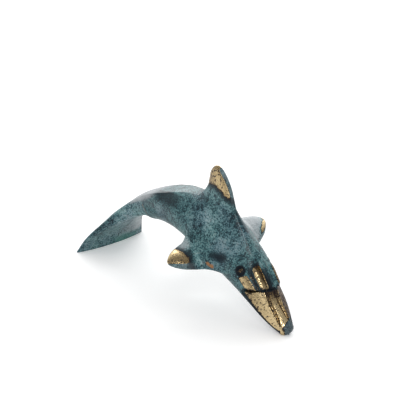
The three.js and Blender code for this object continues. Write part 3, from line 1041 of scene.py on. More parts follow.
@dataclass(frozen=True)
class Trunk:
    """Trunk and head, with the fins' stumps; ridge (painted shade), chest and flank say where it is dark."""

    spine: Spine
    stock: Stock
    snout: Snout
    head: Head
    fins: tuple[Fin, ...]
    head_x: float = 92.0
    around: int = 240
    trunk_rings: int = 105
    head_rings: int = 64
    # The ridge's amounts paint shade below the tail stock's ridge.
    ridge_start: Span = (36, 46)
    ridge_end: Span = (70, 54)
    ridge_top: Span = (22, 40)
    ridge_foot: Span = (95, 60)
    ridge_dark: float = 0.6
    chest_places: Knots = ((84, -94), (86.7, -86), (88.4, -76))
    chest_reach: float = 4.4
    chest_dark: float = 0.72
    flank_x: float = 76.0
    flank_x_reach: float = 11.0
    flank_angle: float = 40.0
    flank_angle_reach: float = 45.0
    flank_dark: float = 0.32
    copper_spot: tuple[tuple[float, float, float], ...] = ((83.7, -13.0, 23.0), (85.6, -12.0, 21.6))
    copper_reach: float = 1.45
    copper_amount: float = 0.6

    def shell(self) -> Shell:
        """Rings from the tail's joint to the crease, moved out and in by the head's relief.

        Below the widest place the side goes on outwards by as much as the skin comes back in.

        Returns:
            The closed surface.
        """
        angle = around_angles(self.around)
        end = self.snout.start_x(angle)
        back = np.linspace(self.stock.joint_x, self.head_x, self.trunk_rings, endpoint=False)[:, None]
        front = self.head_x + np.linspace(0, 1, self.head_rings)[:, None] * (end - self.head_x)
        x = np.concatenate([np.broadcast_to(back, (self.trunk_rings, self.around)), front])
        turn = np.broadcast_to(angle, x.shape)
        grid = self.spine.skin(x, turn)
        at, side, rise = self.spine.outline(x, turn)
        side = np.where(rise > 0, side, 2 * np.sign(side) * at.width - side)
        lift = self.head.relief(x.ravel(), side.ravel(), grid.reshape(-1, 3)).reshape(x.shape)
        grid = grid + self.spine.outward(x, turn) * lift[..., None]
        return Shell(grid, self.spine.at(self.stock.joint_x).centre, self.snout.corner.centre)

    def wear(self, points: Array) -> dict[WearAndLight, Array]:
        """The head's wear, painted shade and dark patches behind it, painted sheen, and two marks of copper.

        Args:
            points: places in millimetres.

        Returns:
            Amounts for the points, by kind of wear.
        """
        x, side, rise = self.spine.locate(points)
        bare, dark = self.head.wear(x, side, rise, points)
        # gloom: painted shade below the ridge, a dark patch on the chest, darker away from the flank.
        shade = np.maximum(dark, self.gloom(points, x, side, rise))
        spot = to_segment(points, *(np.array(end) for end in self.copper_spot))
        spot = self.copper_amount * bell(spot, self.copper_reach)
        copper = np.maximum(spot, self.stock.seam(x, side, rise))
        # Painted sheen on the fins' stumps and on the flat back.
        fin_sheens = (fin.grey_and_sheen(points) for fin in self.fins)
        pale = np.maximum.reduce([self.stock.painted_sheen(x, side, rise), *fin_sheens])
        return {WearAndLight.BARE: bare, WearAndLight.SHADE: shade, WearAndLight.COPPER: copper, WearAndLight.PALE: pale}

    def gloom(self, points: Array, x: Array, side: Array, rise: Array) -> Array:
        """Darkening: painted shade under the tail stock's ridge, a patch on the chest, and least on the
        flank.

        Args:
            points: places in millimetres.
            x: their place along the spine.
            side: their distance to the left.
            rise: their height above the spine.

        Returns:
            The amounts.
        """
        angle = np.degrees(np.arctan2(np.abs(side), rise))
        ridge = ease(*self.ridge_start, x) * ease(*self.ridge_end, x)
        ridge = ridge * ease(*self.ridge_top, angle) * ease(*self.ridge_foot, angle)
        chest = bell(SkinLine(self.spine, self.chest_places).distance(points), self.chest_reach)
        ahead = (x - self.flank_x) / self.flank_x_reach
        flank = bell(np.hypot(ahead, (angle - self.flank_angle) / self.flank_angle_reach), 1.0)
        dark = self.ridge_dark * ridge, self.chest_dark * chest, self.flank_dark * (1 - flank)
        return np.maximum.reduce(dark)

    def build(self, workshop: Workshop) -> bpy.types.Object:
        """The trunk's shell joined with the stumps of the fins."""
        stumps = [fin.stump() for fin in self.fins]
        return workshop.worn(workshop.united("trunk", [self.shell(), *stumps]), self.wear)


@dataclass(frozen=True)
class Polish:
    """The beak's wear and painted shade: amounts by x, by lane, by share of the half width, and by distance.
    """

    tip_x: float = 116.6
    tip_slant: float = 0.45
    tip_fray: Span = (0.5, -0.5)
    tip_dark: float = 0.45
    tip_pale: float = 0.3
    top_bare: Knots = ((104, 0.3), (106.5, 0.42), (109, 0.7), (111.5, 1))
    top_dark: Knots = ((106, 0.9), (110.5, 0))
    # flute_*: brown patina in the flutes, and painted shade where their bare metal mirrors the dark.
    flute_dark: float = 0.75
    flute_lane: Knots = ((0.85, 0), (1.1, 1), (1.8, 1), (1.97, 0))
    flute_end: Span = (117.2, 116)
    facet_bare: Knots = ((2, 1), (4.5, 0.9), (6.2, 0.66))
    # Painted shade that darkens the facets from their top edge outwards.
    facet_painted_shade: Knots = ((2.2, 0), (3.5, 0.08), (5, 0.25), (6.2, 0.45))
    left_bare: float = 0.5
    left_dark: float = 0.95
    left_start: Span = (2.2, 2.7)
    rim_bare: Span = (0.99, 0.90)
    rim_start: Span = (0.91, 0.97)
    rim_dark: float = 0.85
    jaw_bare: Span = (-1.6, -0.9)
    jaw_start: Span = (-1.0, -1.6)
    jaw_dark: float = 0.8
    crease_bare: Span = (0.5, 1.1)
    crease_dark: float = 1.5
    mouth_bare: Span = (0.25, 0.7)
    mouth_dark: float = 0.8


@dataclass(frozen=True)
class Beak:
    """The beak: flat facets beside a fluted top, over the lower jaw.

    Lanes run forward on each side of the midline: the ridge, the flute, and the facet.
    """

    spine: Spine
    snout: Snout
    around: int = 260
    rings: int = 100
    nose_rings: int = 16
    ridge_edge: Knots = ((106, 0.9), (111, 1.0), (114, 1.25), (116, 1.75), (117.4, 2.3))
    facet_edge: Knots = ((105, 2.75), (112, 2.8), (115, 2.6), (117.6, 2.35))
    facet_flat: float = 0.75
    facet_round: Span = (0, 0.35)
    facet_end_x: float = 115.0
    flute: float = 0.8
    flute_start: Span = (104, 105.5)
    flute_end: Span = (117.4, 115)
    mouth_end_x: float = 116.5
    mouth_reach: float = 0.5
    mouth_depth: float = 0.5
    polish: Polish = Polish()

    def edges(self, x: Array) -> tuple[Array, Array]:
        """Distances from the midline of the ridge's edge and of the facet's edge."""
        return bent(x, self.ridge_edge), bent(x, self.facet_edge)

    def surface(self, x: Array, angle: Array) -> Array:
        """Skin with flat facets and flutes.

        Beyond the facet's edge the rise goes towards the straight line from that edge to the mouth's
        line, rounded at the edge. A flute is a parabola across its lane, taken off the rise.

        Args:
            x: place along the spine.
            angle: angle from the dorsal line.

        Returns:
            The points.
        """
        at, side, rise = self.spine.outline(x, angle)
        ridge, edge = self.edges(x)
        mouth = math.radians(self.snout.mouth_angle)
        edge_rise = at.height * np.sqrt(np.clip(1 - (edge / at.width) ** 2, 0, 1))
        low_rise = at.height * math.cos(mouth)
        share = np.clip((np.abs(side) - edge) / (at.width * math.sin(mouth) - edge), 0, 1)
        chord = edge_rise + (low_rise - edge_rise) * share
        upper = np.cos(angle) > math.cos(mouth)
        facet = (np.abs(side) > edge) & upper & (x < self.spine.end_x)
        flat = self.facet_flat * ease(*self.facet_round, share) * ease(self.spine.end_x, self.facet_end_x, x)
        rise = np.where(facet, rise + (chord - rise) * flat, rise)
        across = np.clip((np.abs(side) - ridge) / (edge - ridge), 0, 1)
        fade = ease(*self.flute_end, x) * ease(*self.flute_start, x) * (np.cos(angle) > 0)
        rise = rise - self.flute * fade * 4 * across * (1 - across)
        return at.centre + at.dorsal * rise[..., None] + at.left * side[..., None]

    def shell(self) -> Shell:
        """Rings from the crease to the rounded end, with crease and mouth cut in, flat on the table.

        Returns:
            The closed surface.
        """
        spine = self.spine
        angle = around_angles(self.around)
        start = self.snout.start_x(angle)
        run = start + np.linspace(0, 1, self.rings)[:, None] * (spine.end_x - start)
        past = np.linspace(0, 1, self.nose_rings + 1, endpoint=False)[1:, None]
        nose = np.broadcast_to(spine.end_x + past * spine.nose, (self.nose_rings, self.around))
        x = np.concatenate([run, nose])
        turn = np.broadcast_to(angle, x.shape)
        grid = self.surface(x, turn)
        places = grid.reshape(-1, 3)
        dip = self.snout.dip(places)
        for hand in (RIGHT, LEFT):
            dip += self.mouth_depth * bell(self.mouth(hand).distance(places), self.mouth_reach)
        grid = grid - spine.outward(x, turn) * dip.reshape(x.shape)[..., None]
        grid[..., 2] = np.maximum(grid[..., 2], 0)
        tip = spine.skin(np.array(spine.end_x + spine.nose), np.array(0.0))
        return Shell(grid, self.snout.corner.centre, tip * [1, 1, 0])

    def mouth(self, hand: int) -> SkinLine:
        """The line of the mouth on one side."""
        degrees = self.snout.mouth_angle * hand
        return SkinLine(self.spine, ((self.snout.corner_x, degrees), (self.mouth_end_x, degrees)))

    def wear(self, points: Array) -> dict[WearAndLight, Array]:
        """Ridges and right facet are bare; flutes, mouth, crease, outer sides, left and tip are dark.

        Args:
            points: places in millimetres.

        Returns:
            Amounts for the points, by kind of wear.
        """
        polish = self.polish
        x, side, rise = self.spine.locate(points)
        lane = lanes(np.abs(side), *self.edges(x))
        top, left = lane < 2, side > 0
        crease = self.snout.to_crease(points)
        mouth = np.minimum(*(self.mouth(hand).distance(points) for hand in (RIGHT, LEFT)))
        outer = np.abs(side) / self.spine.at(x).width
        behind = ease(*polish.tip_fray, x - polish.tip_x + polish.tip_slant * side)
        facet = np.where(side < 0, bent(lane, polish.facet_bare), polish.left_bare)
        bare = np.where(top, bent(x, polish.top_bare), facet) * behind * ease(*polish.rim_bare, outer)
        bare = bare * ease(*polish.crease_bare, crease) * ease(*polish.mouth_bare, mouth)
        dark = [
            # Flutes: brown patina, and painted shade on their bare metal.
            polish.flute_dark * bent(lane, polish.flute_lane) * ease(*polish.flute_end, x),
            # Painted shade across the facets.
            bent(lane, polish.facet_painted_shade),
            bent(x, polish.top_dark) * top,
            bell(crease, polish.crease_dark),
            bell(mouth, polish.mouth_dark),
            polish.rim_dark * ease(*polish.rim_start, outer) * behind,
            polish.jaw_dark * ease(*polish.jaw_start, rise),
            polish.left_dark * ease(*polish.left_start, lane) * left,
            polish.tip_dark * (1 - behind),
        ]
        return {
            WearAndLight.BARE: bare * ease(*polish.jaw_bare, rise),
            WearAndLight.SHADE: np.maximum.reduce(dark),
            WearAndLight.PALE: polish.tip_pale * (1 - behind),
        }

    def build(self, workshop: Workshop) -> bpy.types.Object:
        """The beak's piece, with its wear."""
        return workshop.worn(workshop.mesh("snout", self.shell()), self.wear)


@dataclass(frozen=True)
class Tail:
    """Flukes and tail stock, cut flat where the flukes stand on the table."""

    spine: Spine
    stock: Stock
    around: int = 200
    rings: int = 90
    foot: Span = (11, 0.5)
    foot_green: Knots = ((-14, 0.1), (-4, 0.3), (5, 0.55), (14, 0.45))
    face: Span = (1, 5)
    # A painted reflection of the floor, paling the front face.
    face_painted_reflection: Knots = ((-16, 0.15), (-2, 0.2), (5, 0.4), (14, 0.65))
    rim: Span = (0.93, 0.99)
    rim_end: Span = (20, 14)
    rim_dark: float = 0.35

    def shell(self) -> Shell:
        """Rings from the table to the tail's joint.

        Returns:
            The closed surface.
        """
        angle = around_angles(self.around)
        joint_x = self.stock.joint_x

        def height(x: Array) -> Array:
            """Height of the skin above the table."""
            return self.spine.skin(x, angle)[:, 2]

        low = np.full_like(angle, self.spine.stations[0].x)
        start = solve(height, low, np.full_like(angle, joint_x))
        x = start + np.linspace(0, 1, self.rings)[:, None] * (joint_x - start)
        grid = self.spine.skin(x, np.broadcast_to(angle, x.shape))
        return Shell(grid, grid[0].mean(0), self.spine.at(joint_x).centre)

    def wear(self, points: Array) -> dict[WearAndLight, Array]:
        """Green along the foot of the front face, a painted reflection above it, dark along the flukes'
        sides.

        Args:
            points: places in millimetres.

        Returns:
            Amounts for the points, by kind of wear.
        """
        x, side, rise = self.spine.locate(points)
        front, height = rise < 0, points[:, 2]
        green = ease(*self.foot, height) * front * bent(side, self.foot_green)
        # pale: a painted reflection of the floor on the front face; painted sheen on the flat back is added
        # below.
        pale = ease(*self.face, height) * front * bent(side, self.face_painted_reflection)
        rim = ease(*self.rim, np.abs(side) / self.spine.at(x).width) * ease(*self.rim_end, x)
        return {
            WearAndLight.GREEN: green,
            WearAndLight.PALE: np.maximum(pale, self.stock.painted_sheen(x, side, rise)),
            WearAndLight.SHADE: self.rim_dark * rim,
            WearAndLight.COPPER: self.stock.seam(x, side, rise),
        }

    def build(self, workshop: Workshop) -> bpy.types.Object:
        """The tail's piece, with its wear."""
        return workshop.worn(workshop.mesh("flukes", self.shell()), self.wear)


class Value:
    """A shader socket that can stand in a sum: each operator adds a Math node."""

    def __init__(self, graph: "Graph", socket: bpy.types.NodeSocket) -> None:
        """Wrap a socket of a graph."""
        self.graph = graph
        self.socket = socket

    def math(self, operation: str, *others: "Value | float") -> "Value":
        """A Math node of this value and others."""
        inputs = dict(enumerate((self, *others)))
        return self.graph.node("ShaderNodeMath", {"operation": operation}, inputs)

    def __add__(self, other: "Value | float") -> "Value":
        """Sum."""
        return self.math("ADD", other)

    __radd__ = __add__

    def __sub__(self, other: "Value | float") -> "Value":
        """Difference."""
        return self.math("SUBTRACT", other)

    def __rsub__(self, other: float) -> "Value":
        """Difference from a number."""
        return self.graph.node("ShaderNodeMath", {"operation": "SUBTRACT"}, {0: other, 1: self})

    def __mul__(self, other: "Value | float") -> "Value":
        """Product."""
        return self.math("MULTIPLY", other)

    __rmul__ = __mul__

    def most(self, other: "Value | float") -> "Value":
        """The larger of two values."""
        return self.math("MAXIMUM", other)

    def step(self, low: float, high: float) -> "Value":
        """Rise from 0 at low to 1 at high, smoothly.

        Args:
            low: the value that gives 0.
            high: the value that gives 1.

        Returns:
            The eased value.
        """
        settings = {"interpolation_type": "SMOOTHSTEP"}
        inputs = {"Value": self, "From Min": low, "From Max": high}
        return self.graph.node("ShaderNodeMapRange", settings, inputs)


class Cloud(NamedTuple):
    """Cloudy noise: the size of its blobs in millimetres, its detail and its roughness."""

    size: float
    detail: float
    rough: float


class Graph:
    """The node tree of a material or of the world."""

    def __init__(self, tree: bpy.types.NodeTree) -> None:
        """Empty the tree."""
        self.tree = tree
        tree.nodes.clear()

    def node(
        self, kind: str, settings: dict[str, Any], inputs: dict[int | str, Any], output: int | str = 0
    ) -> Value | None:
        """Add a node.

        Args:
            kind: the node's type.
            settings: properties, set before the sockets; stops are a colour ramp's (place, colour) pairs.
            inputs: values or links, by a socket's number or name.
            output: the socket that is returned, by number or name.

        Returns:
            One output of the node, if it has any.
        """
        made = self.tree.nodes.new(kind)
        for name, setting in settings.items():
            if name == "stops":
                ramp = made.color_ramp.elements
                while len(ramp) < len(setting):
                    ramp.new(1.0)
                for element, (place, colour) in zip(ramp, setting):
                    element.position = place
                    element.color = (*colour, 1.0)
            else:
                setattr(made, name, setting)
        for name, value in inputs.items():
            if isinstance(value, Value):
                self.tree.links.new(value.socket, made.inputs[name])
            elif isinstance(value, tuple) and len(value) == 3 and made.inputs[name].type == "RGBA":
                made.inputs[name].default_value = (*value, 1.0)
            else:
                made.inputs[name].default_value = value
        return Value(self, made.outputs[output]) if made.outputs else None

    def place(self) -> Value:
        """Object coordinates, which are metres in the row frame."""
        return self.node("ShaderNodeTexCoord", {}, {}, "Object")

    def noise(self, place: Value, cloud: Cloud) -> Value:
        """Cloudy noise from 0 to 1."""
        inputs = {"Scale": 1 / (cloud.size * MM), "Detail": cloud.detail, "Roughness": cloud.rough}
        return self.node("ShaderNodeTexNoise", {}, {"Vector": place, **inputs})

    def mix(self, share: Value, a: Value | Colour, b: Value | Colour, blend: str = "MIX") -> Value:
        """Colour between two others, or the first one blended with the second.

        Args:
            share: how far the colour goes from the first to the second.
            a: the first colour.
            b: the second colour.
            blend: how the second is laid on the first.

        Returns:
            The colour.
        """
        settings = {"data_type": "RGBA", "blend_type": blend}
        # Sockets 6 and 7 and output 2 are the ones for colours.
        return self.node("ShaderNodeMix", settings, {0: share, 6: a, 7: b}, 2)

    def ray(self, kind: str) -> Value:
        """1 for rays of a kind, and 0 for others."""
        return self.node("ShaderNodeLightPath", {}, {}, kind)

    def seen(self) -> tuple[Value, Value]:
        """1 for the camera's rays, and 1 for rays that gloss mirrors or glass lets through."""
        return self.ray("Is Camera Ray"), self.ray("Is Glossy Ray").most(self.ray("Is Transmission Ray"))

    def worn(self, kind: WearAndLight) -> Value:
        """Amount of a kind of wear, painted light included, that the mesh carries."""
        return self.node("ShaderNodeAttribute", {"attribute_name": kind.value}, {}, "Fac")


def material(name: str, inputs: Callable[[Graph], dict[str, Any]]) -> bpy.types.Material:
    """A material of one Principled shader.

    Args:
        name: the material's name.
        inputs: makes the shader's inputs in a graph.

    Returns:
        The material.
    """
    made = bpy.data.materials.new(name)
    made.use_nodes = True
    graph = Graph(made.node_tree)
    shader = graph.node("ShaderNodeBsdfPrincipled", {}, inputs(graph))
    graph.node("ShaderNodeOutputMaterial", {}, {"Surface": shader})
    return made


class Fray(NamedTuple):
    """How ragged the border of a mark is, and the amounts between which the mark comes up."""

    rag: float
    low: float
    high: float

    def of(self, amount: Value, ragged: Value) -> Value:
        """The amount with a ragged border."""
        return (amount + ragged * self.rag).step(self.low, self.high)


@dataclass(frozen=True)
class CastBronze:
    """Cast bronze under a mottled patina, rubbed back to bright metal where it is handled."""

    deep: Colour = (0.007, 0.025, 0.033)
    dark: Colour = (0.023, 0.078, 0.093)
    teal: Colour = (0.062, 0.158, 0.172)
    pale: Colour = (0.135, 0.270, 0.280)
    chalk: Colour = (0.250, 0.390, 0.390)
    # black: dark patina, and painted shade.
    black: Colour = (0.006, 0.010, 0.015)
    green: Colour = (0.030, 0.200, 0.140)
    # grey_and_sheen: the pale layer's grey, for painted sheen as well as grey patina.
    grey_and_sheen: Colour = (0.420, 0.450, 0.470)
    lilac: Colour = (1.12, 0.94, 1.03)
    copper: Colour = (0.310, 0.150, 0.062)
    metal: Colour = (0.82, 0.64, 0.36)
    soot: Colour = (0.022, 0.013, 0.010)
    brown: Colour = (0.12, 0.068, 0.022)
    tones: tuple[float, ...] = (0.28, 0.38, 0.47, 0.62, 0.82)
    tone_shift: float = 0.82
    tone_shade: float = 0.35
    broad: Cloud = Cloud(9.0, 3.0, 0.5)
    broad_share: float = 0.7
    blots: Cloud = Cloud(2.6, 4.0, 0.6)
    blots_share: float = 0.8
    grain: Cloud = Cloud(0.6, 2.0, 0.6)
    grain_share: float = 1.25
    ragged: float = 0.7
    haze: Cloud = Cloud(16.0, 2.0, 0.5)
    haze_at: Span = (0.45, 0.65)
    specks: Cloud = Cloud(1.0, 3.0, 0.5)
    specks_at: Span = (0.55, 0.62)
    specks_share: float = 0.6
    dents: Cloud = Cloud(0.8, 2.0, 0.5)
    dents_share: float = 1.7
    dents_fade: float = 0.8
    pits: Cloud = Cloud(0.8, 1.0, 0.5)
    pits_at: Span = (0.60, 0.66)
    pits_shade: float = 0.05
    bright_fray: Fray = Fray(2.0, 0.45, 0.6)
    bright_least: Span = (0.03, 0.2)
    shade_fray: Fray = Fray(1.2, 0.25, 1.0)
    green_fray: Fray = Fray(1.0, 0.2, 0.9)
    pale_fray: Fray = Fray(0.6, 0.1, 0.9)
    copper_fray: Fray = Fray(1.0, 0.25, 0.6)
    brown_rag: float = 0.6
    rim_at: Span = (0.02, 0.3)
    rim_share: float = 0.8
    soot_at: Span = (0.15, 0.5)
    rough: float = 0.5
    rough_grain: float = 0.3
    rough_shine: float = 0.26
    bump_strength: float = 0.3
    bump_distance: float = 0.2 * MM
    wax: float = 0.4
    wax_rough: float = 0.25
    gloss: float = 0.15

    def patina(self, g: Graph, tone: Value, layers: list[tuple[Value, Colour]]) -> Value:
        """Colour of the patina: a ramp by tone with a lilac haze, under layers of other colours.

        Args:
            g: the graph.
            tone: how pale the patina is.
            layers: shares and colours, from the lowest layer up.

        Returns:
            The colour.
        """
        stops = tuple(zip(self.tones, (self.deep, self.dark, self.teal, self.pale, self.chalk)))
        colour = g.node("ShaderNodeValToRGB", {"stops": stops}, {0: tone})
        haze = g.noise(g.place(), self.haze).step(*self.haze_at)
        colour = g.mix(haze, colour, self.lilac, "MULTIPLY")
        for share, layer in layers:
            colour = g.mix(share, colour, layer)
        return colour

    def inputs(self, g: Graph) -> dict[str, Any]:
        """The shader's inputs: patina and bright metal, parted by the wear with ragged borders.

        Args:
            g: the graph.

        Returns:
            Values and links, by the shader's socket.
        """
        place = g.place()
        blots, grain = g.noise(place, self.blots), g.noise(place, self.grain)
        bare, dark, copper, green, pale = (g.worn(kind) for kind in WearAndLight)
        ragged = (blots - NOISE_MIDDLE) * self.ragged + (grain - NOISE_MIDDLE) * self.ragged
        tone = g.noise(place, self.broad) * self.broad_share + blots * self.blots_share
        # The shade amount darkens the tone too, painted shade included.
        tone = tone + grain * self.grain_share - dark * self.tone_shade - self.tone_shift
        specks = g.noise(place, self.specks).step(*self.specks_at) * self.specks_share
        bright = self.bright_fray.of(bare, ragged) * bare.step(*self.bright_least)
        rim = bare.step(*self.rim_at) * self.rim_share * (1 - bright)
        shade = self.shade_fray.of(dark, ragged).most(rim)
        patina = self.patina(g, tone, [
            (specks, self.deep),
            (self.green_fray.of(green, ragged), self.green),
            # The pale layer: painted sheen on back, fins and flukes' face, and grey patina on the beak's tip
            # and leading edges.
            (self.pale_fray.of(pale, ragged), self.grey_and_sheen),
            # The black layer: dark patina in hollows, and painted shade.
            (shade, self.black),
            (bare.step(*self.soot_at), self.soot),
            (self.copper_fray.of(copper, ragged), self.copper),
        ])
        # The shade amount browns the bare metal: tarnish, and painted shade on the beak's facets and flutes
        # and the brow's wall.
        metal = g.mix((dark + ragged * self.brown_rag).most(0.0), self.metal, self.brown)
        pits = (g.noise(place, self.pits) + dark * self.pits_shade).step(*self.pits_at)
        shine = bright * (1 - pits)
        dents = g.noise(place, self.dents) * shine * (1 - dark * self.dents_fade) * self.dents_share
        height = grain + blots - dents
        bump = {"Strength": self.bump_strength, "Distance": self.bump_distance, "Height": height}
        return {
            "Base Color": g.mix(shine, patina, metal),
            "Metallic": shine,
            "Roughness": self.rough + (grain - NOISE_MIDDLE) * self.rough_grain - shine * self.rough_shine,
            "Normal": g.node("ShaderNodeBump", {}, bump),
            "Coat Weight": (1 - shine) * (1 - shade) * self.wax,
            "Coat Roughness": self.wax_rough,
            "Specular IOR Level": self.gloss,
        }


@dataclass(frozen=True)
class RodBronze:
    """Drawn bronze rod, here and there dull."""

    metal: Colour = (0.42, 0.27, 0.13)
    dull: Colour = (0.22, 0.13, 0.06)
    haze: Cloud = Cloud(1.2, 4.0, 0.6)
    rough: float = 0.3
    rough_haze: float = 0.2

    def inputs(self, g: Graph) -> dict[str, Any]:
        """The shader's inputs.

        Args:
            g: the graph.

        Returns:
            Values and links, by the shader's socket.
        """
        haze = g.noise(g.place(), self.haze)
        colour = g.mix(haze, self.dull, self.metal)
        return {"Base Color": colour, "Metallic": 1.0, "Roughness": self.rough + haze * self.rough_haze}


@dataclass(frozen=True)
class Softbox:
    """A square lamp that faces the object."""

    name: str
    place: tuple[float, float, float]
    size: float
    power: float

    def hang(self) -> None:
        """Add the lamp, turned towards the object."""
        lamp = bpy.data.lights.new(self.name, "AREA")
        lamp.size = self.size
        lamp.energy = self.power
        made = bpy.data.objects.new(self.name, lamp)
        made.location = self.place
        made.rotation_euler = (-Vector(self.place)).to_track_quat("-Z", "Y").to_euler()
        bpy.context.scene.collection.objects.link(made)


@dataclass(frozen=True)
class Studio:
    """Pale floor, a soft sky, a broad lamp behind, a small one in front, and the photograph's camera."""

    azimuth: float = 50.75
    elevation: float = 23.84
    distance: float = 0.700
    lens: float = 150.0
    sensor: float = 36.0
    shift: tuple[float, float] = (0.01275, 0.108)
    target: tuple[float, float, float] = (60.0, 0.0, 20.0)
    floor_half: float = 0.45
    floor_tone: float = 0.82
    floor_glow: float = 0.13
    mirrored_glow: float = 0.05
    sky_near: float = 0.35
    sky_turn: Span = (0.2, 0.9)
    sky_soft: float = 0.64
    white: Colour = (1.0, 1.0, 1.0)
    away: tuple[float, float, float] = (-0.77, 0.63, 0.10)
    boxes: tuple[Softbox, ...] = (
        Softbox("back", (-0.55, 0.56, 0.56), 1.0, 7.0),
        Softbox("front", (0.51, -0.44, 0.53), 0.26, 1.7),
    )

    def build(self, workshop: Workshop) -> None:
        """Set up floor, sky, lamps and camera.

        Args:
            workshop: places the camera's target in the row.
        """
        self.floor()
        self.sky()
        for box in self.boxes:
            box.hang()
        self.camera(workshop)

    def floor(self) -> None:
        """A pale plane; what the camera sees of it glows a little, so that it is white out of shadow."""
        half = self.floor_half
        corners = [(x * half, y * half, 0) for x, y in ((-1, -1), (1, -1), (1, 1), (-1, 1))]
        data = bpy.data.meshes.new("floor")
        data.from_pydata(corners, [], [(0, 1, 2, 3)])
        plane = bpy.data.objects.new("floor", data)
        bpy.context.scene.collection.objects.link(plane)
        coat = bpy.data.materials.new("floor")
        coat.use_nodes = True
        g = Graph(coat.node_tree)
        camera, mirror = g.seen()
        glow = camera * self.floor_glow + mirror * self.mirrored_glow
        tone = g.mix(camera, (self.floor_tone,) * 3, self.white)
        matt = g.node("ShaderNodeBsdfDiffuse", {}, {"Color": tone})
        glow = g.node("ShaderNodeEmission", {}, {"Color": self.white, "Strength": glow})
        both = g.node("ShaderNodeAddShader", {}, {0: matt, 1: glow})
        g.node("ShaderNodeOutputMaterial", {}, {"Surface": both})
        data.materials.append(coat)

    def sky(self) -> None:
        """Even light from all round; the camera sees it white, and mirrors do so away from the camera."""
        world = bpy.data.worlds.new("sky")
        world.use_nodes = True
        g = Graph(world.node_tree)
        way = g.node("ShaderNodeTexCoord", {}, {}, "Generated")
        far = g.node("ShaderNodeVectorMath", {"operation": "DOT_PRODUCT"}, {0: way, 1: self.away}, "Value")
        camera, mirror = g.seen()
        mirrored = self.sky_near + far.step(*self.sky_turn) * (1 - self.sky_near)
        strength = camera + mirror * mirrored + (1 - camera.most(mirror)) * self.sky_soft
        back = g.node("ShaderNodeBackground", {}, {"Color": self.white, "Strength": strength})
        g.node("ShaderNodeOutputWorld", {}, {"Surface": back})
        bpy.context.scene.world = world

    def camera(self, workshop: Workshop) -> None:
        """The camera that the photograph was taken with, found from the points on the table.

        Args:
            workshop: places the camera's target in the row.
        """
        a, e = math.radians(self.azimuth), math.radians(self.elevation)
        back = Vector((math.sin(a) * math.cos(e), -math.cos(a) * math.cos(e), math.sin(e)))
        lens = bpy.data.cameras.new("camera")
        lens.lens = self.lens
        lens.sensor_width = self.sensor
        lens.shift_x, lens.shift_y = self.shift
        made = bpy.data.objects.new("camera", lens)
        made.location = Vector(workshop.row(np.array(self.target))) + back * self.distance
        made.rotation_euler = (-back).to_track_quat("-Z", "Y").to_euler()
        bpy.context.scene.collection.objects.link(made)
        bpy.context.scene.camera = made


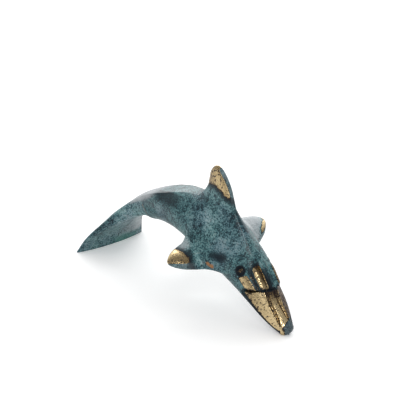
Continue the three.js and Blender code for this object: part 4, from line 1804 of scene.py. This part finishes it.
def fins(spine: Spine) -> dict[str, Fin]:
    """The three fins by their nodes' names.

    Args:
        spine: the spine that they stand on.

    Returns:
        The fins, by node.
    """
    pectoral = dict(
        x=80.88, drop=3.7, rise=-2.2, root_chord=14.0, tip_chord=3.2, root_thick=3.15, tip_thick=2.2,
        tip_round=6, free=0.62, pull=0.6, skirt_x=79.2, skirt_angle=106, skirt_back=11.5, skirt_front=13.5,
        skirt_spread=38, joint=14,
    )
    dorsal_rub = Rub(
        border=((28, 0.71), (51, 0.71), (74, 0.735), (90, 0.735), (111, 0.72), (150, 0.62), (180, 0.57)),
        edge=((0.72, 28), (0.79, 28), (0.85, 34), (0.91, 47), (0.94, 65), (0.97, 90)),
        # brown stays near 0 just past the leading edge: a painted highlight line of bright metal; further
        # back it is tarnish.
        brown=((0, 0), (5, 0.05), (14, 0.6), (35, 0.35), (60, 0.35), (90, 0.55), (120, 0.75)),
        rim=0.65,
    )
    # The pectorals' grey_and_sheen knots lay painted sheen, a painted reflection, on the blades' patina.
    right_rub = Rub(
        border=((40, 0.74), (77, 0.70), (95, 0.72), (117, 0.74), (146, 0.75), (170, 0.78)),
        edge=((0.6, 50), (1, 50)),
        brown=((0, 0.7), (20, 0.5), (60, 0.35), (100, 0.05)),
        rim=0.65,
        grey_and_sheen=((90, 0), (125, 0.5), (180, 0.5)),
    )
    left_rub = Rub(
        border=((20, 0.95), (35, 0.72), (55, 0.76), (70, 0.84), (85, 0.94), (180, 0.96)),
        edge=((0.6, 28), (1, 28)),
        brown=((0, 0.9), (15, 0.5), (25, 0), (150, 0)),
        rim=0,
        grey_and_sheen=((25, 0.35), (45, 0.55), (80, 0.6), (110, 0.7), (180, 0.7)),
    )
    dorsal = Fin(
        spine, x=79.2, drop=0, sweep=-12.0, side=0, rise=29.3, root_chord=14.6, tip_chord=5.2,
        root_thick=3.36, tip_thick=1.6, tip_round=7.5, free=0.6, pull=0.3, skirt_x=74.4, skirt_angle=0,
        skirt_back=11.5, skirt_front=21.5, skirt_spread=42, joint=17, rub=dorsal_rub,
    )
    return {
        "dorsal_fin": dorsal,
        "right_pectoral_fin": Fin(spine, side=-25.9, sweep=-4.2, **pectoral, rub=right_rub),
        "left_pectoral_fin": Fin(spine, side=25.9, sweep=-6.0, **pectoral, rub=left_rub),
    }


def main() -> None:
    """Build the dolphin's pieces, dress them, and set up the studio."""
    logging.basicConfig(level=logging.INFO, format="%(name)s: %(message)s")
    bpy.context.scene.view_settings.view_transform = "Standard"
    spine = Spine()
    stock = Stock(spine)
    snout = Snout(spine)
    limbs = fins(spine)
    eyes = {"right_eye": Eye(spine, RIGHT), "left_eye": Eye(spine, LEFT)}
    trunk = Trunk(spine, stock, snout, Head(snout, tuple(eyes.values())), tuple(limbs.values()))
    workshop = Workshop.on_frame(spine, stock.joint_x, stock.dowel_drop)
    bronze = material("patinated_bronze", CastBronze().inputs)
    rod = material("bronze_rod", RodBronze().inputs)
    workshop.finish(trunk.build(workshop), "body", "patina", bronze)
    workshop.finish(Beak(spine, snout).build(workshop), "beak", "polished_bronze", bronze)
    workshop.finish(Tail(spine, stock).build(workshop), "tail_flukes", "patina", bronze)
    for node, fin in limbs.items():
        workshop.finish(fin.build(workshop, f"{node}_blade"), node, "patina", bronze)
    for node, eye in eyes.items():
        workshop.finish(eye.build(workshop, f"{node}_stud"), node, "dark_bronze", bronze)
    for name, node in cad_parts.items():
        if name.endswith("dowel"):
            node.material_slots[0].material = rod
            log.info("%s: rod", name)
    Studio().build(workshop)


if __name__ == "__main__":
    main()
